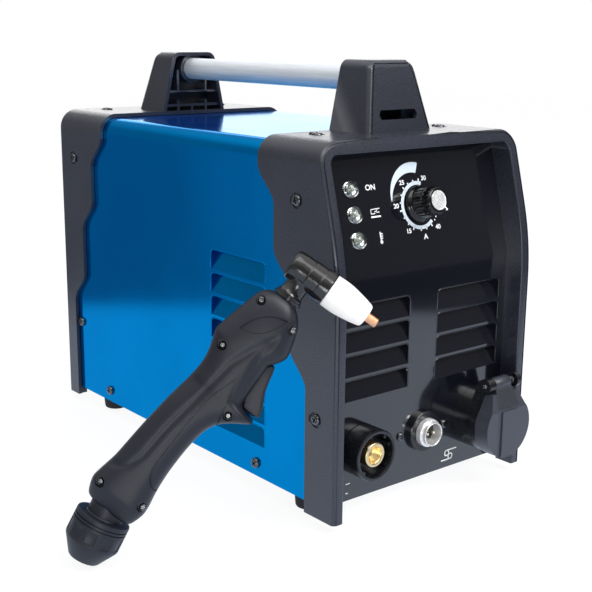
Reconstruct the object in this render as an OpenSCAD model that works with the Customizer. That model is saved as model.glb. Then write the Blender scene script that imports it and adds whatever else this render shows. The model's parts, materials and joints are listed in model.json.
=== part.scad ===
/* [Casing] */
// Width across the moulded end frames
body_w = 172; // [168:1:190]
// Depth from the front frame's face to the rear frame's face
body_d = 332; // [326:1:370]
// Height of the end frames above the floor
body_h = 236; // [232:1:260]
// Outer corner radius of the end frames
frame_r = 14; // [12:0.5:18]
// How far the end frames stand proud of the cover
frame_lip = 3; // [2.4:0.1:4]
// Width of the ring around the front and rear openings
ring_w = 8; // [7:0.5:10]
// Corner radius of the front and rear openings
opening_r = 6; // [4:0.5:9]
// Depth of the front and rear recesses
recess_d = 14; // [11:0.5:16]
// Gap between the floor and the legs of the end frames
leg_gap = 6; // [4:0.5:9]
// Gap between the floor and the base pan
pan_gap = 12; // [11:0.5:15]
// Thickness of the sheet steel
sheet_t = 1.5; // [1:0.1:2]
// Clearance between fitted parts that stay still
fit_gap = 0.3; // [0.2:0.05:0.5]
// Radial clearance of a shaft in its bush
run_gap = 0.05; // [0.02:0.01:0.09]

/* [End frames] */
// Angle of the sloping front above the fold, from the vertical
slope_a = 15; // [10:0.5:18]
// Height from the fold of the front ring up to the top
fold_drop = 73; // [68:1:78]
// Height from the fold of the control panel up to the top
panel_fold_drop = 81; // [78:1:86]
// Length over which the front ring bends
bend_len = 25; // [15:1:30]
// Width of the front frame's side at its leg
front_leg = 28; // [24:1:34]
// Width of the rear frame's side at its leg
rear_leg = 15; // [13:1:20]
// Depth of each step in the wavy edges
wave_step = 16; // [12:0.5:18]
// Height of each S-curve in the wavy edges
wave_len = 24; // [16:1:30]

/* [Handle] */
// Outer diameter of the handle tube
tube_d = 16; // [14:0.5:18]
// Wall of the handle tube
tube_wall = 1.5; // [1:0.1:2.5]
// Height of the tube's axis above the end frames
tube_rise = 32; // [30:0.5:38]
// Height of the handle posts above the end frames
post_h = 44.5; // [43:0.5:50]
// Width of a handle post at its foot
post_foot_w = 57; // [50:1:64]
// Width of a handle post at its top
post_top_w = 38; // [34:1:46]
// Depth of a handle post at its foot
post_foot_d = 36; // [32:1:42]
// Depth of a handle post at its top
post_top_d = 26; // [24:1:32]
// Wall of a handle post
post_wall = 2.6; // [2:0.1:3.5]
// Distance from the front face to the open side of the front post
front_post_y = 76; // [72:1:80]
// Distance from the rear face to the open side of the rear post
rear_post_y = 61; // [58:1:66]

/* [Louvres] */
// Width of a louvre
louvre_w = 60; // [50:1:62]
// Height of a louvre
louvre_h = 13.8; // [11:0.2:14.5]
// Distance from one louvre to the next
louvre_pitch = 15.6; // [15:0.1:18]
// How far a louvre is pressed inwards
louvre_in = 5; // [3:0.5:7]
// Number of louvres on each side of the cover
side_louvres = 8; // [4:1:8]
// Number of louvres in each column of the control panel
front_louvres = 4; // [2:1:4]

/* [Feet] */
// Distance of the feet from the sides of the casing
feet_x = 18; // [16:1:30]
// Distance of the feet from the front and rear faces of the casing
feet_y = 44; // [38:1:60]
// Radius of a foot at its base
foot_r = 9; // [7:0.5:10]

/* [Controls] */
// Radius of the knob's fluted grip
knob_r = 9.3; // [8:0.1:11]
// Height of the knob above the panel
knob_h = 18; // [14:0.5:22]
// Radius of the potentiometer's shaft
pot_shaft_r = 3; // [2.5:0.1:3.2]
// Distance of the knob from the fold, up the slope
knob_up = 38.5; // [34:0.5:44]
// Distance of the knob from the middle of the panel
knob_x = 2; // [-4:0.5:6]
// Radius of a pilot lamp's lens
lamp_r = 5.2; // [4:0.1:6]
// Distance of the pilot lamps from the nearest side of the casing
lamp_x = 33; // [28:0.5:40]
// Distance of the lowest pilot lamp from the fold, up the slope
lamp_up = 21; // [16:0.5:24]
// Distance from one pilot lamp to the next
lamp_pitch = 15.6; // [13:0.1:18]

/* [Sockets] */
// Height of the sockets above the floor
socket_z = 44; // [42:0.5:47]
// Distance of the torch socket from the nearest side of the casing
torch_socket_x = 34; // [30:0.5:38]
// Radius of the torch socket's housing
torch_socket_r = 16.5; // [15:0.5:18]
// How far the torch socket stands out of the panel
torch_socket_out = 15; // [12:0.5:18]
// Radius of the torch socket's brass bore
torch_bore_r = 5.2; // [4.5:0.1:6]
// Distance of the control socket from the middle
control_x = 2.5; // [-2:0.5:4]
// Outer radius of the control socket's shell
control_r = 8; // [7:0.1:9]
// Distance of the earth socket from the nearest side of the casing
earth_x = 34; // [32:0.5:36]
// Outer radius of the earth socket's housing
earth_r = 20.5; // [19:0.5:22]
// How far the earth socket's housing stands out of the panel
earth_out = 20; // [17:0.5:24]
// Radius of the earth socket's brass bore
earth_bore_r = 4.5; // [4:0.1:5.5]
// Radius of the lid's hinge pin
hinge_pin_r = 1.5; // [1.2:0.1:2]
// Depth of the lid in front of the housing
lid_d = 11; // [9:0.5:14]

/* [Rear] */
// Size of the square fan frame
fan_size = 80; // [70:1:84]
// Depth of the fan frame
fan_d = 25; // [20:1:28]
// Distance of the fan from the middle
fan_x = -26; // [-30:1:-20]
// Distance of the fan's axis below the top of the end frames
fan_z = 68; // [60:1:76]
// Distance of the air regulator from the middle
regulator_x = 34; // [28:1:36]
// Height of the regulator's pipe above the floor
regulator_z = 92; // [86:1:98]
// Width of the regulator's body
regulator_w = 38; // [34:1:42]
// Radius of the condensate bowl
bowl_r = 16; // [13:0.5:17]
// Length of the condensate bowl
bowl_len = 44; // [36:1:48]
// Radius of the pressure gauge
gauge_r = 19; // [15:0.5:20]
// Distance of the mains switch from the middle
switch_x = 48; // [44:1:54]
// Distance of the mains switch below the top of the end frames
switch_z = 40; // [36:1:48]
// Width of the mains switch's opening
switch_w = 21; // [18:0.5:24]
// Height of the mains switch's opening
switch_h = 29; // [26:0.5:32]

/* [Torch] */
// Turn of the torch about the vertical
torch_turn = -40; // [-46:1:-34]
// Lean of the torch back against the front frame
torch_lean = 12; // [8:0.5:15]
// Slope of the torch's handle within its own plane
torch_angle = 52; // [48:1:56]
// Gap between the torch's cup and the corner of the front frame
torch_off = 0.3; // [0.3:0.1:4]
// Thickness of the torch's handle
handle_t = 31; // [28:0.5:34]
// Wall of the torch's handle
handle_wall = 3; // [2.4:0.1:3.6]
// Radius of the shield cup at its base
cup_r = 9.8; // [9:0.1:10]
// Length of the shield cup
cup_len = 26; // [22:0.5:30]
// Radius of the copper nozzle's tip
tip_r = 2.8; // [2.4:0.1:3.4]
// How far the nozzle's tip stands out of the cup
tip_out = 7; // [5:0.5:9]
// Radius of the hose boot's nut
boot_r = 16.2; // [14:0.2:17]
// Travel of the trigger in degrees
trigger_travel = 7; // [5:0.5:8]

/* [Hidden] */
$fn = 48;

front_y = -body_d / 2;
rear_y = body_d / 2;
fold_z = body_h - fold_drop;
panel_fold_z = body_h - panel_fold_drop;
panel_y = front_y + recess_d;
rear_panel_y = rear_y - recess_d;
cover_w = body_w - 2 * frame_lip;
cover_top = body_h - frame_lip;
cover_r = frame_r - frame_lip;
inside_w = cover_w - 2 * sheet_t;
opening_half = body_w / 2 - ring_w;
torch_socket_at = torch_socket_x - body_w / 2;
earth_at = body_w / 2 - earth_x;
lamp_at = lamp_x - body_w / 2;
fan_axis_z = body_h - fan_z;
switch_axis_z = body_h - switch_z;
pan_top = pan_gap + sheet_t;
wave_drops = [29, 79, 138];
side_louvre_y = front_y + 101.5;
side_louvre_top = body_h - 79;
front_louvre_top = panel_fold_z - 17.5;
front_louvre_x = opening_half - louvre_w / 2 - 6;
// Louvres that find room between the top one and the screws or the sockets below
function louvres_in(top, low, wanted) = min(wanted, floor((top - louvre_h - low) / louvre_pitch) + 1);
side_louvre_count = louvres_in(side_louvre_top, pan_gap + 20, side_louvres);
front_louvre_count = louvres_in(front_louvre_top, socket_z + earth_r + 10, front_louvres);
tube_r = tube_d / 2;
tube_z = body_h + tube_rise;
front_open_y = front_y + front_post_y;
rear_open_y = rear_y - rear_post_y;
tube_seat = 14;
screw_head_r = 3.6;
screw_head_h = 2.2;
screw_r = 1.7;
screw_hole_r = screw_r + 0.15;
screw_len = 9;
counterbore_r = 5;
counterbore_d = 1;
earth_front_y = panel_y - earth_out;
lid_r = earth_r + 0.5;
hinge_y = earth_front_y - 1;
hinge_z = socket_z + earth_r + 7.5;
barrel_r = 3.6;
post_root = frame_lip - 0.1;

post_len = 10;
foot_places = [for (s = [-1, 1], t = [-1, 1]) [s * (body_w / 2 - feet_x), t * (body_d / 2 - feet_y)]];
foot_recess = 5;

pot_bush_r = 4.6;
pot_nut_r = 6;
shaft_out = 15;
cap_t = 1.4;
cap_r = 6.2;
lamp_stem_r = 3.8;

small_screw_r = 1.2;
hose_r = 5;
hose_bore_r = 3.2;
torch_thread_r = 11;
torch_insert_r = torch_bore_r + 2.8;
insert_tail = 26;
control_thread_r = control_r + 1.8;
flange_r = control_r + 6.5;
control_out = 11.5;
control_screw_x = 20;
// The control socket keeps its screws clear of the earth socket
control_at = min(control_x, earth_at - earth_r - control_screw_x - screw_head_r - 1);
earth_thread_r = 12;
earth_contact_r = earth_bore_r + 3.5;
barrel_w = 15;
ear_r = 5;
lid_top_w = 24;
spring_wire_r = 0.5;
// The two hinge ears as [start, width], measured from the socket's middle
ears = [[-13.8, 6], [13.5, 3.5]];

fan_bore_r = fan_size / 2 - 2;
fan_hub_r = 15;
fan_shaft_r = 1.5;
fan_hole = fan_size / 2 - 4.3;
fan_corners = [for (s = [-1, 1], t = [-1, 1]) [s * fan_hole, t * fan_hole]];
rocker_y = -4;
rocker_tilt = -10;
gland_x = 50;
gland_z = body_h - 86;
gland_thread_r = 8;
gland_bore_r = 4.5;
pipe_r = 6.5;
regulator_y = rear_y + 6;
regulator_l = 40;
regulator_mid = regulator_y + regulator_l / 2;
inlet_thread_r = 5.5;
inlet_r = 6;
gauge_d = 14;
needle_rest = 45;
drain_r = 3;

board_w = 140;
board_t = 1.6;
board_z = pan_top + post_len;
board_y0 = front_y + 106;
board_y1 = rear_y - 46;
board_post_in = 8;
board_posts = [for (s = [-1, 1], y = [board_y0 + board_post_in, board_y1 - board_post_in])
    [s * (board_w / 2 - board_post_in), y]];
control_board_w = 88;
control_board_l = 62;
sink_y = board_y0 + 20;
sink_len = board_y1 - board_y0 - 60;
sink_x = 24;
sink_w = 34;
sink_h = 50;
can_r = 10.5;
can_h = 44;
can_ys = [board_y1 - 60, board_y1 - 32];
transformer_y = board_y1 - 116;
valve_y = front_y + 71;
valve_z = socket_z;
hose_x = 14.5 - inside_w / 2;
hose_route = smooth_route([
    [regulator_x, rear_panel_y - 14.2, regulator_z], [regulator_x, rear_panel_y - 36, regulator_z],
    [hose_x, rear_panel_y - 36, regulator_z], [hose_x, valve_y + 52, regulator_z],
    [torch_socket_at, valve_y + 40, valve_z], [torch_socket_at, valve_y + 17.5, valve_z]], 12);

head_r = 10;
head_s = 192.6;
head_tilt = 3;
neck_r = 6.9;
neck_t = 0;
cup_at = 15.5;
spigot_r = 7.6;
electrode_r = 1.8;
rest_z = 152;
torch_u = -136;
torch_w = 16.3;
handle_screw_r = 1.25;
head_z = 9;
handle_screws = [[165.5, 10.7], [132.5, 12], [163.1, -13.6], [103.4, -15.2], [29.8, 17.6], [33.2, -10]];
trigger_t = 12;
trigger_pivot = [136.5, -14.5];
switch_s = 116;
switch_t = -9;
boot_s = 13.3;
boot_t = 4;
boot_tilt = 12;
boot_neck_r = 10.5;
boot_end_r = 9;
boot_bore_r = 5.5;

// Frame screws as [y, z] on the sides, and [x, y] on the tops
front_side_screws = [[front_y + 38, body_h - 35.5], [front_y + 18, body_h - 166.5]];
rear_side_screws = [[rear_y - 20, body_h - 36]];
front_top_screws = [[-54, front_y + 58], [54, front_y + 58]];
rear_top_screws = [[-54, rear_y - 18], [54, rear_y - 18]];
// Cover screws as [y, z]
side_cover_screws = [[rear_y - 20, 68], [rear_y - 62, pan_gap + 9], [front_y + 81, pan_gap + 9]];

// ---------- Outlines ----------
function ease(t) = (1 - cos(180 * t)) / 2;
function bend_point(a, b, c, t) = a * (1 - t) * (1 - t) + b * 2 * t * (1 - t) + c * t * t;
function unit(v) = v / norm(v);
function turn2(v, a) = [v[0] * cos(a) - v[1] * sin(a), v[0] * sin(a) + v[1] * cos(a)];
function cross2(a, b) = a[0] * b[1] - a[1] * b[0];

// One corner of an outline, given as [x, y, radius], as the points of an arc
function corner(before, at, after, steps) =
    let(p = [at[0], at[1]], to_a = unit([before[0], before[1]] - p), to_b = unit([after[0], after[1]] - p),
        half = acos(to_a * to_b) / 2, reach = at[2] / tan(half),
        c = p + unit(to_a + to_b) * at[2] / sin(half), start = p + to_a * reach - c,
        sweep = (180 - 2 * half) * (cross2(to_a, to_b) > 0 ? -1 : 1))
    [for (i = [0:steps]) c + turn2(start, sweep * i / steps)];
function rounded(points, steps = 5) = [
    for (i = [0:len(points) - 1])
        let(n = len(points), at = points[i])
        each at[2] > 0 ? corner(points[(i + n - 1) % n], at, points[(i + 1) % n], steps) : [[at[0], at[1]]]
];

// The wavy inner edge of an end frame, from its leg up, as [distance from the end face, height]
function wave(leg, steps = 8) = concat(
    [[leg, leg_gap - 1]],
    [for (k = [0:2]) for (i = [0:steps])
        [leg + wave_step * (k + ease(i / steps)), body_h - wave_drops[2 - k] + wave_len * (i / steps - 0.5)]],
    [[leg + wave_step * 3, body_h + 1]]);

// The bent front line of the front ring, from its leg up, as [y, z]
function front_line(steps = 8) =
    let(low = [front_y, fold_z - bend_len], mid = [front_y, fold_z],
        high = mid + bend_len * [sin(slope_a), cos(slope_a)])
    concat([[front_y, leg_gap - 1]],
        [for (i = [0:steps]) bend_point(low, mid, high, i / steps)],
        [[front_y + (body_h + 1 - fold_z) * tan(slope_a), body_h + 1]]);

// Points of a route with its corners rounded
function smooth_route(points, r) = [
    for (i = [0:len(points) - 1])
        let(n = len(points), p = points[i])
        each i == 0 || i == n - 1 ? [p] :
            let(a = p + unit(points[i - 1] - p) * r, b = p + unit(points[i + 1] - p) * r)
            [for (t = [0:0.2:1]) bend_point(a, p, b, t)]];
function slope_at(z) = max(0, z - panel_fold_z) * tan(slope_a);
// The folded line of the control panel, moved back by a depth
function panel_line(depth, low, high) = [
    [panel_y + depth, low], [panel_y + depth, panel_fold_z], [panel_y + depth + slope_at(high), high]];

module along_x(w) {
    rotate([90, 0, 90]) linear_extrude(w, center = true) children();
}
module along_y(y0, y1) {
    translate([0, y1, 0]) rotate([90, 0, 0]) linear_extrude(y1 - y0) children();
}
// Draws its children with their own +Z pointing out of the front, at a depth and height
module facing_front(x, y, z) {
    translate([x, y, z]) rotate([90, 0, 0]) children();
}
module facing_rear(x, y, z) {
    translate([x, y, z]) rotate([-90, 0, 0]) children();
}
// Draws its children on the sloping part of the control panel: +Y up the slope, +Z out of it
module on_slope(x, up) {
    translate([0, panel_y, panel_fold_z]) rotate([90 - slope_a, 0, 0]) translate([x, up, 0]) children();
}
module both_sides() {
    children();
    mirror([1, 0, 0]) children();
}
// Rectangle with its top corners rounded, standing on a base line
module arch(w, low, top, r) {
    translate([-w / 2, low]) square([w, top - r - low]);
    translate([-w / 2 + r, low]) square([w - 2 * r, top - low]);
    for (s = [-1, 1]) translate([s * (w / 2 - r), top - r]) circle(r);
}
module pan_head_screw(length = screw_len) {
    translate([0, 0, -length]) cylinder(r = screw_r, h = length);
    difference() {
        rotate_extrude() polygon([[0, 0], [screw_head_r, 0], [screw_head_r, 0.8], [screw_head_r - 0.7, 1.7],
            [screw_head_r - 1.7, screw_head_h], [0, screw_head_h]]);
        for (a = [0, 90]) rotate(a) translate([-1.7, -0.4, screw_head_h - 1.2]) cube([3.4, 0.8, 2]);
    }
}
module on_side(p, out = body_w / 2) {
    translate([out, p[0], p[1]]) rotate([0, 90, 0]) children();
}

// ---------- Louvres ----------
// Drawn in the plane of the sheet: +Y up, +Z outwards, the louvre's top edge at y = 0
module louvre_outline(gap = 0) {
    r = 3.5;
    translate([-louvre_w / 2 + gap, -louvre_h]) square([louvre_w - 2 * gap, louvre_h - r]);
    translate([-louvre_w / 2 + r, -louvre_h]) square([louvre_w - 2 * r, louvre_h - gap]);
    for (s = [-1, 1]) translate([s * (louvre_w / 2 - r), -r]) circle(r - gap);
}
module louvre_cut() {
    translate([0, 0, -sheet_t - 1]) linear_extrude(sheet_t + 2) louvre_outline();
}
module louvre_flap() {
    tilt = asin(louvre_in / louvre_h);
    translate([0, -louvre_h - 0.6, 0]) rotate([-tilt, 0, 0]) translate([0, louvre_h, -sheet_t])
        linear_extrude(sheet_t) louvre_outline(0.6);
}
module side_louvre_places() {
    for (k = [0:side_louvre_count - 1])
        translate([cover_w / 2, side_louvre_y, side_louvre_top - k * louvre_pitch])
            rotate([90, 0, 90]) children();
}
module front_louvre_places() {
    for (s = [-1, 1], k = [0:front_louvre_count - 1])
        facing_front(s * front_louvre_x, panel_y, front_louvre_top - k * louvre_pitch) children();
}

// ---------- Casing ----------
module base_pan() {
    color("dimgray") difference() {
        union() {
            translate([-inside_w / 2 + fit_gap, panel_y + sheet_t, pan_gap])
                cube([inside_w - 2 * fit_gap, rear_panel_y - panel_y - 2 * sheet_t, sheet_t]);
            both_sides() translate([inside_w / 2 - fit_gap - sheet_t, panel_y + sheet_t + 4, pan_gap])
                cube([sheet_t, rear_panel_y - panel_y - 2 * sheet_t - 8, 20]);
            for (y = [panel_y + sheet_t, rear_panel_y - 2 * sheet_t])
                translate([-inside_w / 2 + 6, y, pan_gap]) cube([inside_w - 12, sheet_t, 14]);
            for (p = board_posts) translate([p[0], p[1], pan_top - 0.1]) cylinder(r = 3.5, h = post_len + 0.1);
        }
        for (p = foot_places) translate([p[0], p[1], pan_gap - 1]) cylinder(r = 2.2, h = sheet_t + 2);
        both_sides() for (i = [0:7]) translate([22, -50 + 16 * i, pan_gap - 1]) cube([30, 5, sheet_t + 2]);
        both_sides() for (p = side_cover_screws)
            if (p[1] < pan_gap + 20) on_side(p, inside_w / 2 - 4) cylinder(r = screw_hole_r, h = 6);
    }
}
module cover_side_profile() {
    front = panel_line(sheet_t + fit_gap, pan_gap, cover_top + 1);
    polygon(concat(front, [[rear_panel_y - sheet_t - fit_gap, cover_top + 1],
        [rear_panel_y - sheet_t - fit_gap, pan_gap]]));
}
module cover() {
    color("#0a6fc2") difference() {
        union() {
            difference() {
                intersection() {
                    along_y(front_y, rear_y) arch(cover_w, pan_gap, cover_top, cover_r);
                    along_x(body_w) cover_side_profile();
                }
                along_y(front_y - 1, rear_y + 1)
                    arch(inside_w, pan_gap - 1, cover_top - sheet_t, cover_r - sheet_t);
                both_sides() side_louvre_places() louvre_cut();
            }
            both_sides() side_louvre_places() louvre_flap();
        }
        both_sides() for (p = concat(front_side_screws, rear_side_screws, side_cover_screws))
            on_side(p, inside_w / 2 - 1) cylinder(r = screw_hole_r, h = sheet_t + 3);
        for (p = concat(front_top_screws, rear_top_screws))
            translate([p[0], p[1], cover_top - sheet_t - 1]) cylinder(r = screw_hole_r, h = sheet_t + 3);
    }
}
module frame_cavity() {
    arch(cover_w + 2 * fit_gap, leg_gap - 2, cover_top + fit_gap, cover_r + fit_gap);
}
module frame_opening() {
    arch(2 * opening_half, leg_gap - 2, body_h - ring_w, opening_r);
}
module frame_screw_holes(sides, tops) {
    both_sides() for (p = sides) {
        on_side(p, cover_w / 2 - 1) cylinder(r = screw_hole_r, h = frame_lip + 2);
        on_side(p, body_w / 2 - counterbore_d) cylinder(r = counterbore_r, h = 2);
    }
    for (p = tops) translate([p[0], p[1], cover_top - 1]) {
        cylinder(r = screw_hole_r, h = frame_lip + 2);
        translate([0, 0, 1 + frame_lip - counterbore_d]) cylinder(r = counterbore_r, h = 2);
    }
}
// Outlines of a handle post seen from the front and from the side, shrunk by a wall
module post_front(wall = 0) {
    slant = (post_foot_w - post_top_w) / 2 / post_h;
    foot = post_foot_w / 2 + slant * post_root - wall;
    top = post_top_w / 2 - wall;
    polygon(rounded([[-foot, -post_root, 0], [foot, -post_root, 0],
        [top, post_h - wall, 7 - wall], [-top, post_h - wall, 7 - wall]]));
}
module post_side(wall = 0) {
    open_y = wall > 0 ? -1 : 0;
    foot = post_foot_d + (post_foot_d - post_top_d) * post_root / post_h - wall;
    polygon(rounded([[open_y, -post_root, 0], [foot, -post_root, 0],
        [post_top_d - wall, post_h - wall, 6 - wall], [open_y, post_h - wall, 0]]));
}
// A handle post with its open side in the plane y = 0 and its closed face towards +Y
module handle_post() {
    slot_z = 8;
    difference() {
        union() {
            difference() {
                intersection() {
                    along_y(-1, post_foot_d + 6) post_front();
                    along_x(post_foot_w + 20) post_side();
                }
                intersection() {
                    along_y(-1, post_foot_d + 6) post_front(post_wall);
                    along_x(post_foot_w + 20) post_side(post_wall);
                }
            }
            intersection() {
                union() {
                    for (z = [3, 13.5]) translate([-post_foot_w / 2, 3, z]) cube([post_foot_w, post_foot_d, 2]);
                    translate([-1, 3, -1]) cube([2, post_foot_d, 5]);
                    for (s = [-1, 1]) translate([s * (tube_r + 5) - 1, 3, -1]) cube([2, post_foot_d, tube_rise]);
                    translate([0, 2, tube_rise]) rotate([-90, 0, 0]) cylinder(r = tube_r + 3, h = tube_seat + 4);
                    translate([-tube_r - 5, tube_seat + 2, 13.5]) cube([tube_d + 10, 3, tube_rise - 6]);
                }
                along_y(0, post_foot_d + 6) post_front(post_wall / 2);
                along_x(post_foot_w + 20) post_side(post_wall / 2);
            }
        }
        translate([0, -1, tube_rise]) rotate([-90, 0, 0]) cylinder(r = tube_r + run_gap, h = tube_seat + 1.5);
        translate([0, -1, slot_z + 3]) rotate([-90, 0, 0]) linear_extrude(post_foot_d + 8)
            polygon([[-16.5, 0], [-15, -3], [15, -3], [16.5, 0], [15, 3], [-15, 3]]);
    }
}
module front_frame() {
    color("#2e3138") difference() {
        union() {
            intersection() {
                along_y(front_y - 1, 0) arch(body_w, leg_gap, body_h, frame_r);
                along_x(body_w + 2) polygon(concat(front_line(),
                    [for (p = reverse_list(wave(front_leg))) [front_y + p[0], p[1]]]));
            }
            translate([0, front_open_y, body_h]) mirror([0, 1, 0]) handle_post();
        }
        intersection() {
            along_y(front_y - 1, 1) frame_cavity();
            along_x(body_w + 2) polygon(concat(panel_line(0, leg_gap - 3, cover_top + 3),
                [[1, cover_top + 3], [1, leg_gap - 3]]));
        }
        along_y(front_y - 1, 1) frame_opening();
        frame_screw_holes(front_side_screws, front_top_screws);
    }
}
module rear_frame() {
    color("#2e3138") difference() {
        union() {
            intersection() {
                along_y(0, rear_y) arch(body_w, leg_gap, body_h, frame_r);
                along_x(body_w + 2) polygon(concat([[rear_y + 1, body_h + 1], [rear_y + 1, leg_gap - 1]],
                    [for (p = wave(rear_leg)) [rear_y - p[0], p[1]]]));
            }
            translate([0, rear_open_y, body_h]) handle_post();
        }
        along_y(-1, rear_panel_y) frame_cavity();
        along_y(-1, rear_y + 1) frame_opening();
        frame_screw_holes(rear_side_screws, rear_top_screws);
    }
}
function reverse_list(v) = [for (i = [len(v) - 1:-1:0]) v[i]];

module front_panel() {
    top = cover_top - 1;
    color("#15171b") difference() {
        union() {
            difference() {
                intersection() {
                    along_x(body_w) polygon(concat(panel_line(0, pan_gap, top),
                        reverse_list(panel_line(sheet_t, pan_gap, top))));
                    along_y(front_y, 0) arch(cover_w - 2 * fit_gap, pan_gap - 1, cover_top - fit_gap, cover_r);
                }
                front_louvre_places() louvre_cut();
            }
            front_louvre_places() louvre_flap();
        }
        sheet_face_round_holes();
    }
}
module sheet_face_round_holes() {
    deep = 5;
    on_slope(knob_x, knob_up) translate([0, 0, -deep]) cylinder(r = pot_bush_r + 0.2, h = deep + 2);
    for (k = [0:2]) on_slope(lamp_at, lamp_up + k * lamp_pitch)
        translate([0, 0, -deep]) cylinder(r = lamp_stem_r + 0.1, h = deep + 2);
    for (h = [[torch_socket_at, torch_thread_r], [control_at, control_thread_r], [earth_at, earth_thread_r]])
        facing_front(h[0], panel_y, socket_z) translate([0, 0, -deep]) cylinder(r = h[1] + 0.1, h = deep + 2);
    for (s = [-1, 1]) facing_front(control_at + s * control_screw_x, panel_y, socket_z)
        translate([0, 0, -deep]) cylinder(r = small_screw_r + 0.1, h = deep + 2);
}
module rear_panel() {
    color("#15171b") difference() {
        along_y(rear_panel_y - sheet_t, rear_panel_y)
            arch(cover_w - 2 * fit_gap, pan_gap, cover_top - fit_gap, cover_r);
        facing_rear(fan_x, rear_panel_y - 5, fan_axis_z) cylinder(r = fan_bore_r, h = 8);
        for (a = fan_corners) facing_rear(fan_x + a[0], rear_panel_y - 5, fan_axis_z + a[1]) cylinder(r = 2, h = 8);
        translate([switch_x - switch_w / 2, rear_panel_y - 4, switch_axis_z - switch_h / 2])
            cube([switch_w, 8, switch_h]);
        facing_rear(gland_x, rear_panel_y - 5, gland_z) cylinder(r = gland_thread_r + 0.1, h = 8);
        facing_rear(regulator_x, rear_panel_y - 5, regulator_z) cylinder(r = pipe_r + 0.1, h = 8);
        for (i = [0:5]) translate([-60, rear_panel_y - 4, 40 + 12 * i]) cube([44, 8, 4]);
    }
}
module handle_tube() {
    reach = tube_seat;
    color("#c9ccd0") along_y(front_open_y - reach, rear_open_y + reach) translate([0, tube_z]) difference() {
        circle(tube_r);
        circle(tube_r - tube_wall);
    }
}
module feet() {
    color("#1a1a1c") for (p = foot_places) translate([p[0], p[1], 0]) difference() {
        rotate_extrude() polygon([[0, 0], [foot_r - 1, 0], [foot_r, 1], [foot_r + 1, pan_gap], [0, pan_gap]]);
        translate([0, 0, -1]) cylinder(r = screw_head_r + 0.6, h = foot_recess + 1);
        cylinder(r = 2.1, h = pan_gap + 1);
    }
}
module foot_screws() {
    color("gray") for (p = foot_places) translate([p[0], p[1], foot_recess]) rotate([180, 0, 0]) {
        translate([0, 0, -(pan_gap - foot_recess + sheet_t + 2)])
            cylinder(r = 1.95, h = pan_gap - foot_recess + sheet_t + 2);
        cylinder(r = screw_head_r, h = 2.4);
    }
}
module casing_screws() {
    color("#3a3a3e") {
        both_sides() for (p = concat(front_side_screws, rear_side_screws))
            on_side(p, body_w / 2 - counterbore_d) pan_head_screw();
        for (p = concat(front_top_screws, rear_top_screws))
            translate([p[0], p[1], body_h - counterbore_d]) pan_head_screw();
        both_sides() for (p = side_cover_screws) on_side(p, cover_w / 2) pan_head_screw();
    }
}

// ---------- Front controls ----------
module fluted_ring(r, flutes = 20, depth = 0.5) {
    difference() {
        circle(r);
        for (i = [0:flutes - 1]) rotate(360 * i / flutes) translate([r + depth, 0]) circle(2 * depth, $fn = 16);
    }
}
module knob() {
    color("#121214") on_slope(knob_x, knob_up) difference() {
        union() {
            rotate_extrude() polygon([[0, 0.5], [knob_r + 2.2, 0.5], [knob_r + 2.2, 1.6], [knob_r + 0.3, 6],
                [knob_r + 0.3, 6.5], [0, 6.5]]);
            translate([0, 0, 6]) linear_extrude(knob_h - 7.5) fluted_ring(knob_r);
            translate([0, 0, knob_h - 2]) cylinder(r1 = knob_r - 0.7, r2 = knob_r - 1.5, h = 2);
        }
        cylinder(r = pot_nut_r + 1, h = 5);
        translate([0, 0, 4]) cylinder(r = pot_shaft_r, h = shaft_out - 4);
        translate([0, 0, knob_h - cap_t]) cylinder(r = cap_r, h = cap_t + 1);
    }
}
module knob_cap() {
    color("silver") on_slope(knob_x, knob_up) translate([0, 0, knob_h - cap_t]) rotate_extrude()
        polygon([[0, 0], [cap_r, 0], [cap_r, cap_t - 0.2], [cap_r - 0.6, cap_t + 0.3], [0, cap_t]]);
}
module knob_shaft() {
    color("lightgray") on_slope(knob_x, knob_up)
        translate([0, 0, -8]) cylinder(r = pot_shaft_r, h = shaft_out + 8);
}
module potentiometer() {
    color("#35654d") on_slope(knob_x, knob_up) difference() {
        union() {
            translate([0, 0, -sheet_t - 9]) cylinder(r = 8.5, h = 9);
            translate([0, 0, -sheet_t - 1]) cylinder(r = pot_bush_r, h = sheet_t + 4.5);
            cylinder(r = pot_nut_r, h = 2, $fn = 6);
            translate([-5, -13, -sheet_t - 6]) cube([10, 8, 1.2]);
        }
        translate([0, 0, -8 - run_gap]) cylinder(r = pot_shaft_r + run_gap, h = 20);
    }
}
module lamp_places() {
    for (k = [0:2]) on_slope(lamp_at, lamp_up + k * lamp_pitch) children();
}
module pilot_lenses() {
    color("#cfd6c8") lamp_places() rotate_extrude() polygon(concat(
        [[0, -6], [lamp_stem_r, -6], [lamp_stem_r, 0], [lamp_r, 0]],
        [for (a = [0:15:90]) [(lamp_r - 0.1) * cos(a), 1 + 3 * sin(a)]]));
}
module lamp_holders() {
    color("#222226") lamp_places() difference() {
        translate([0, 0, -14]) cylinder(r = 6, h = 14 - sheet_t);
        translate([0, 0, -6]) cylinder(r = lamp_stem_r, h = 8);
    }
}

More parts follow.
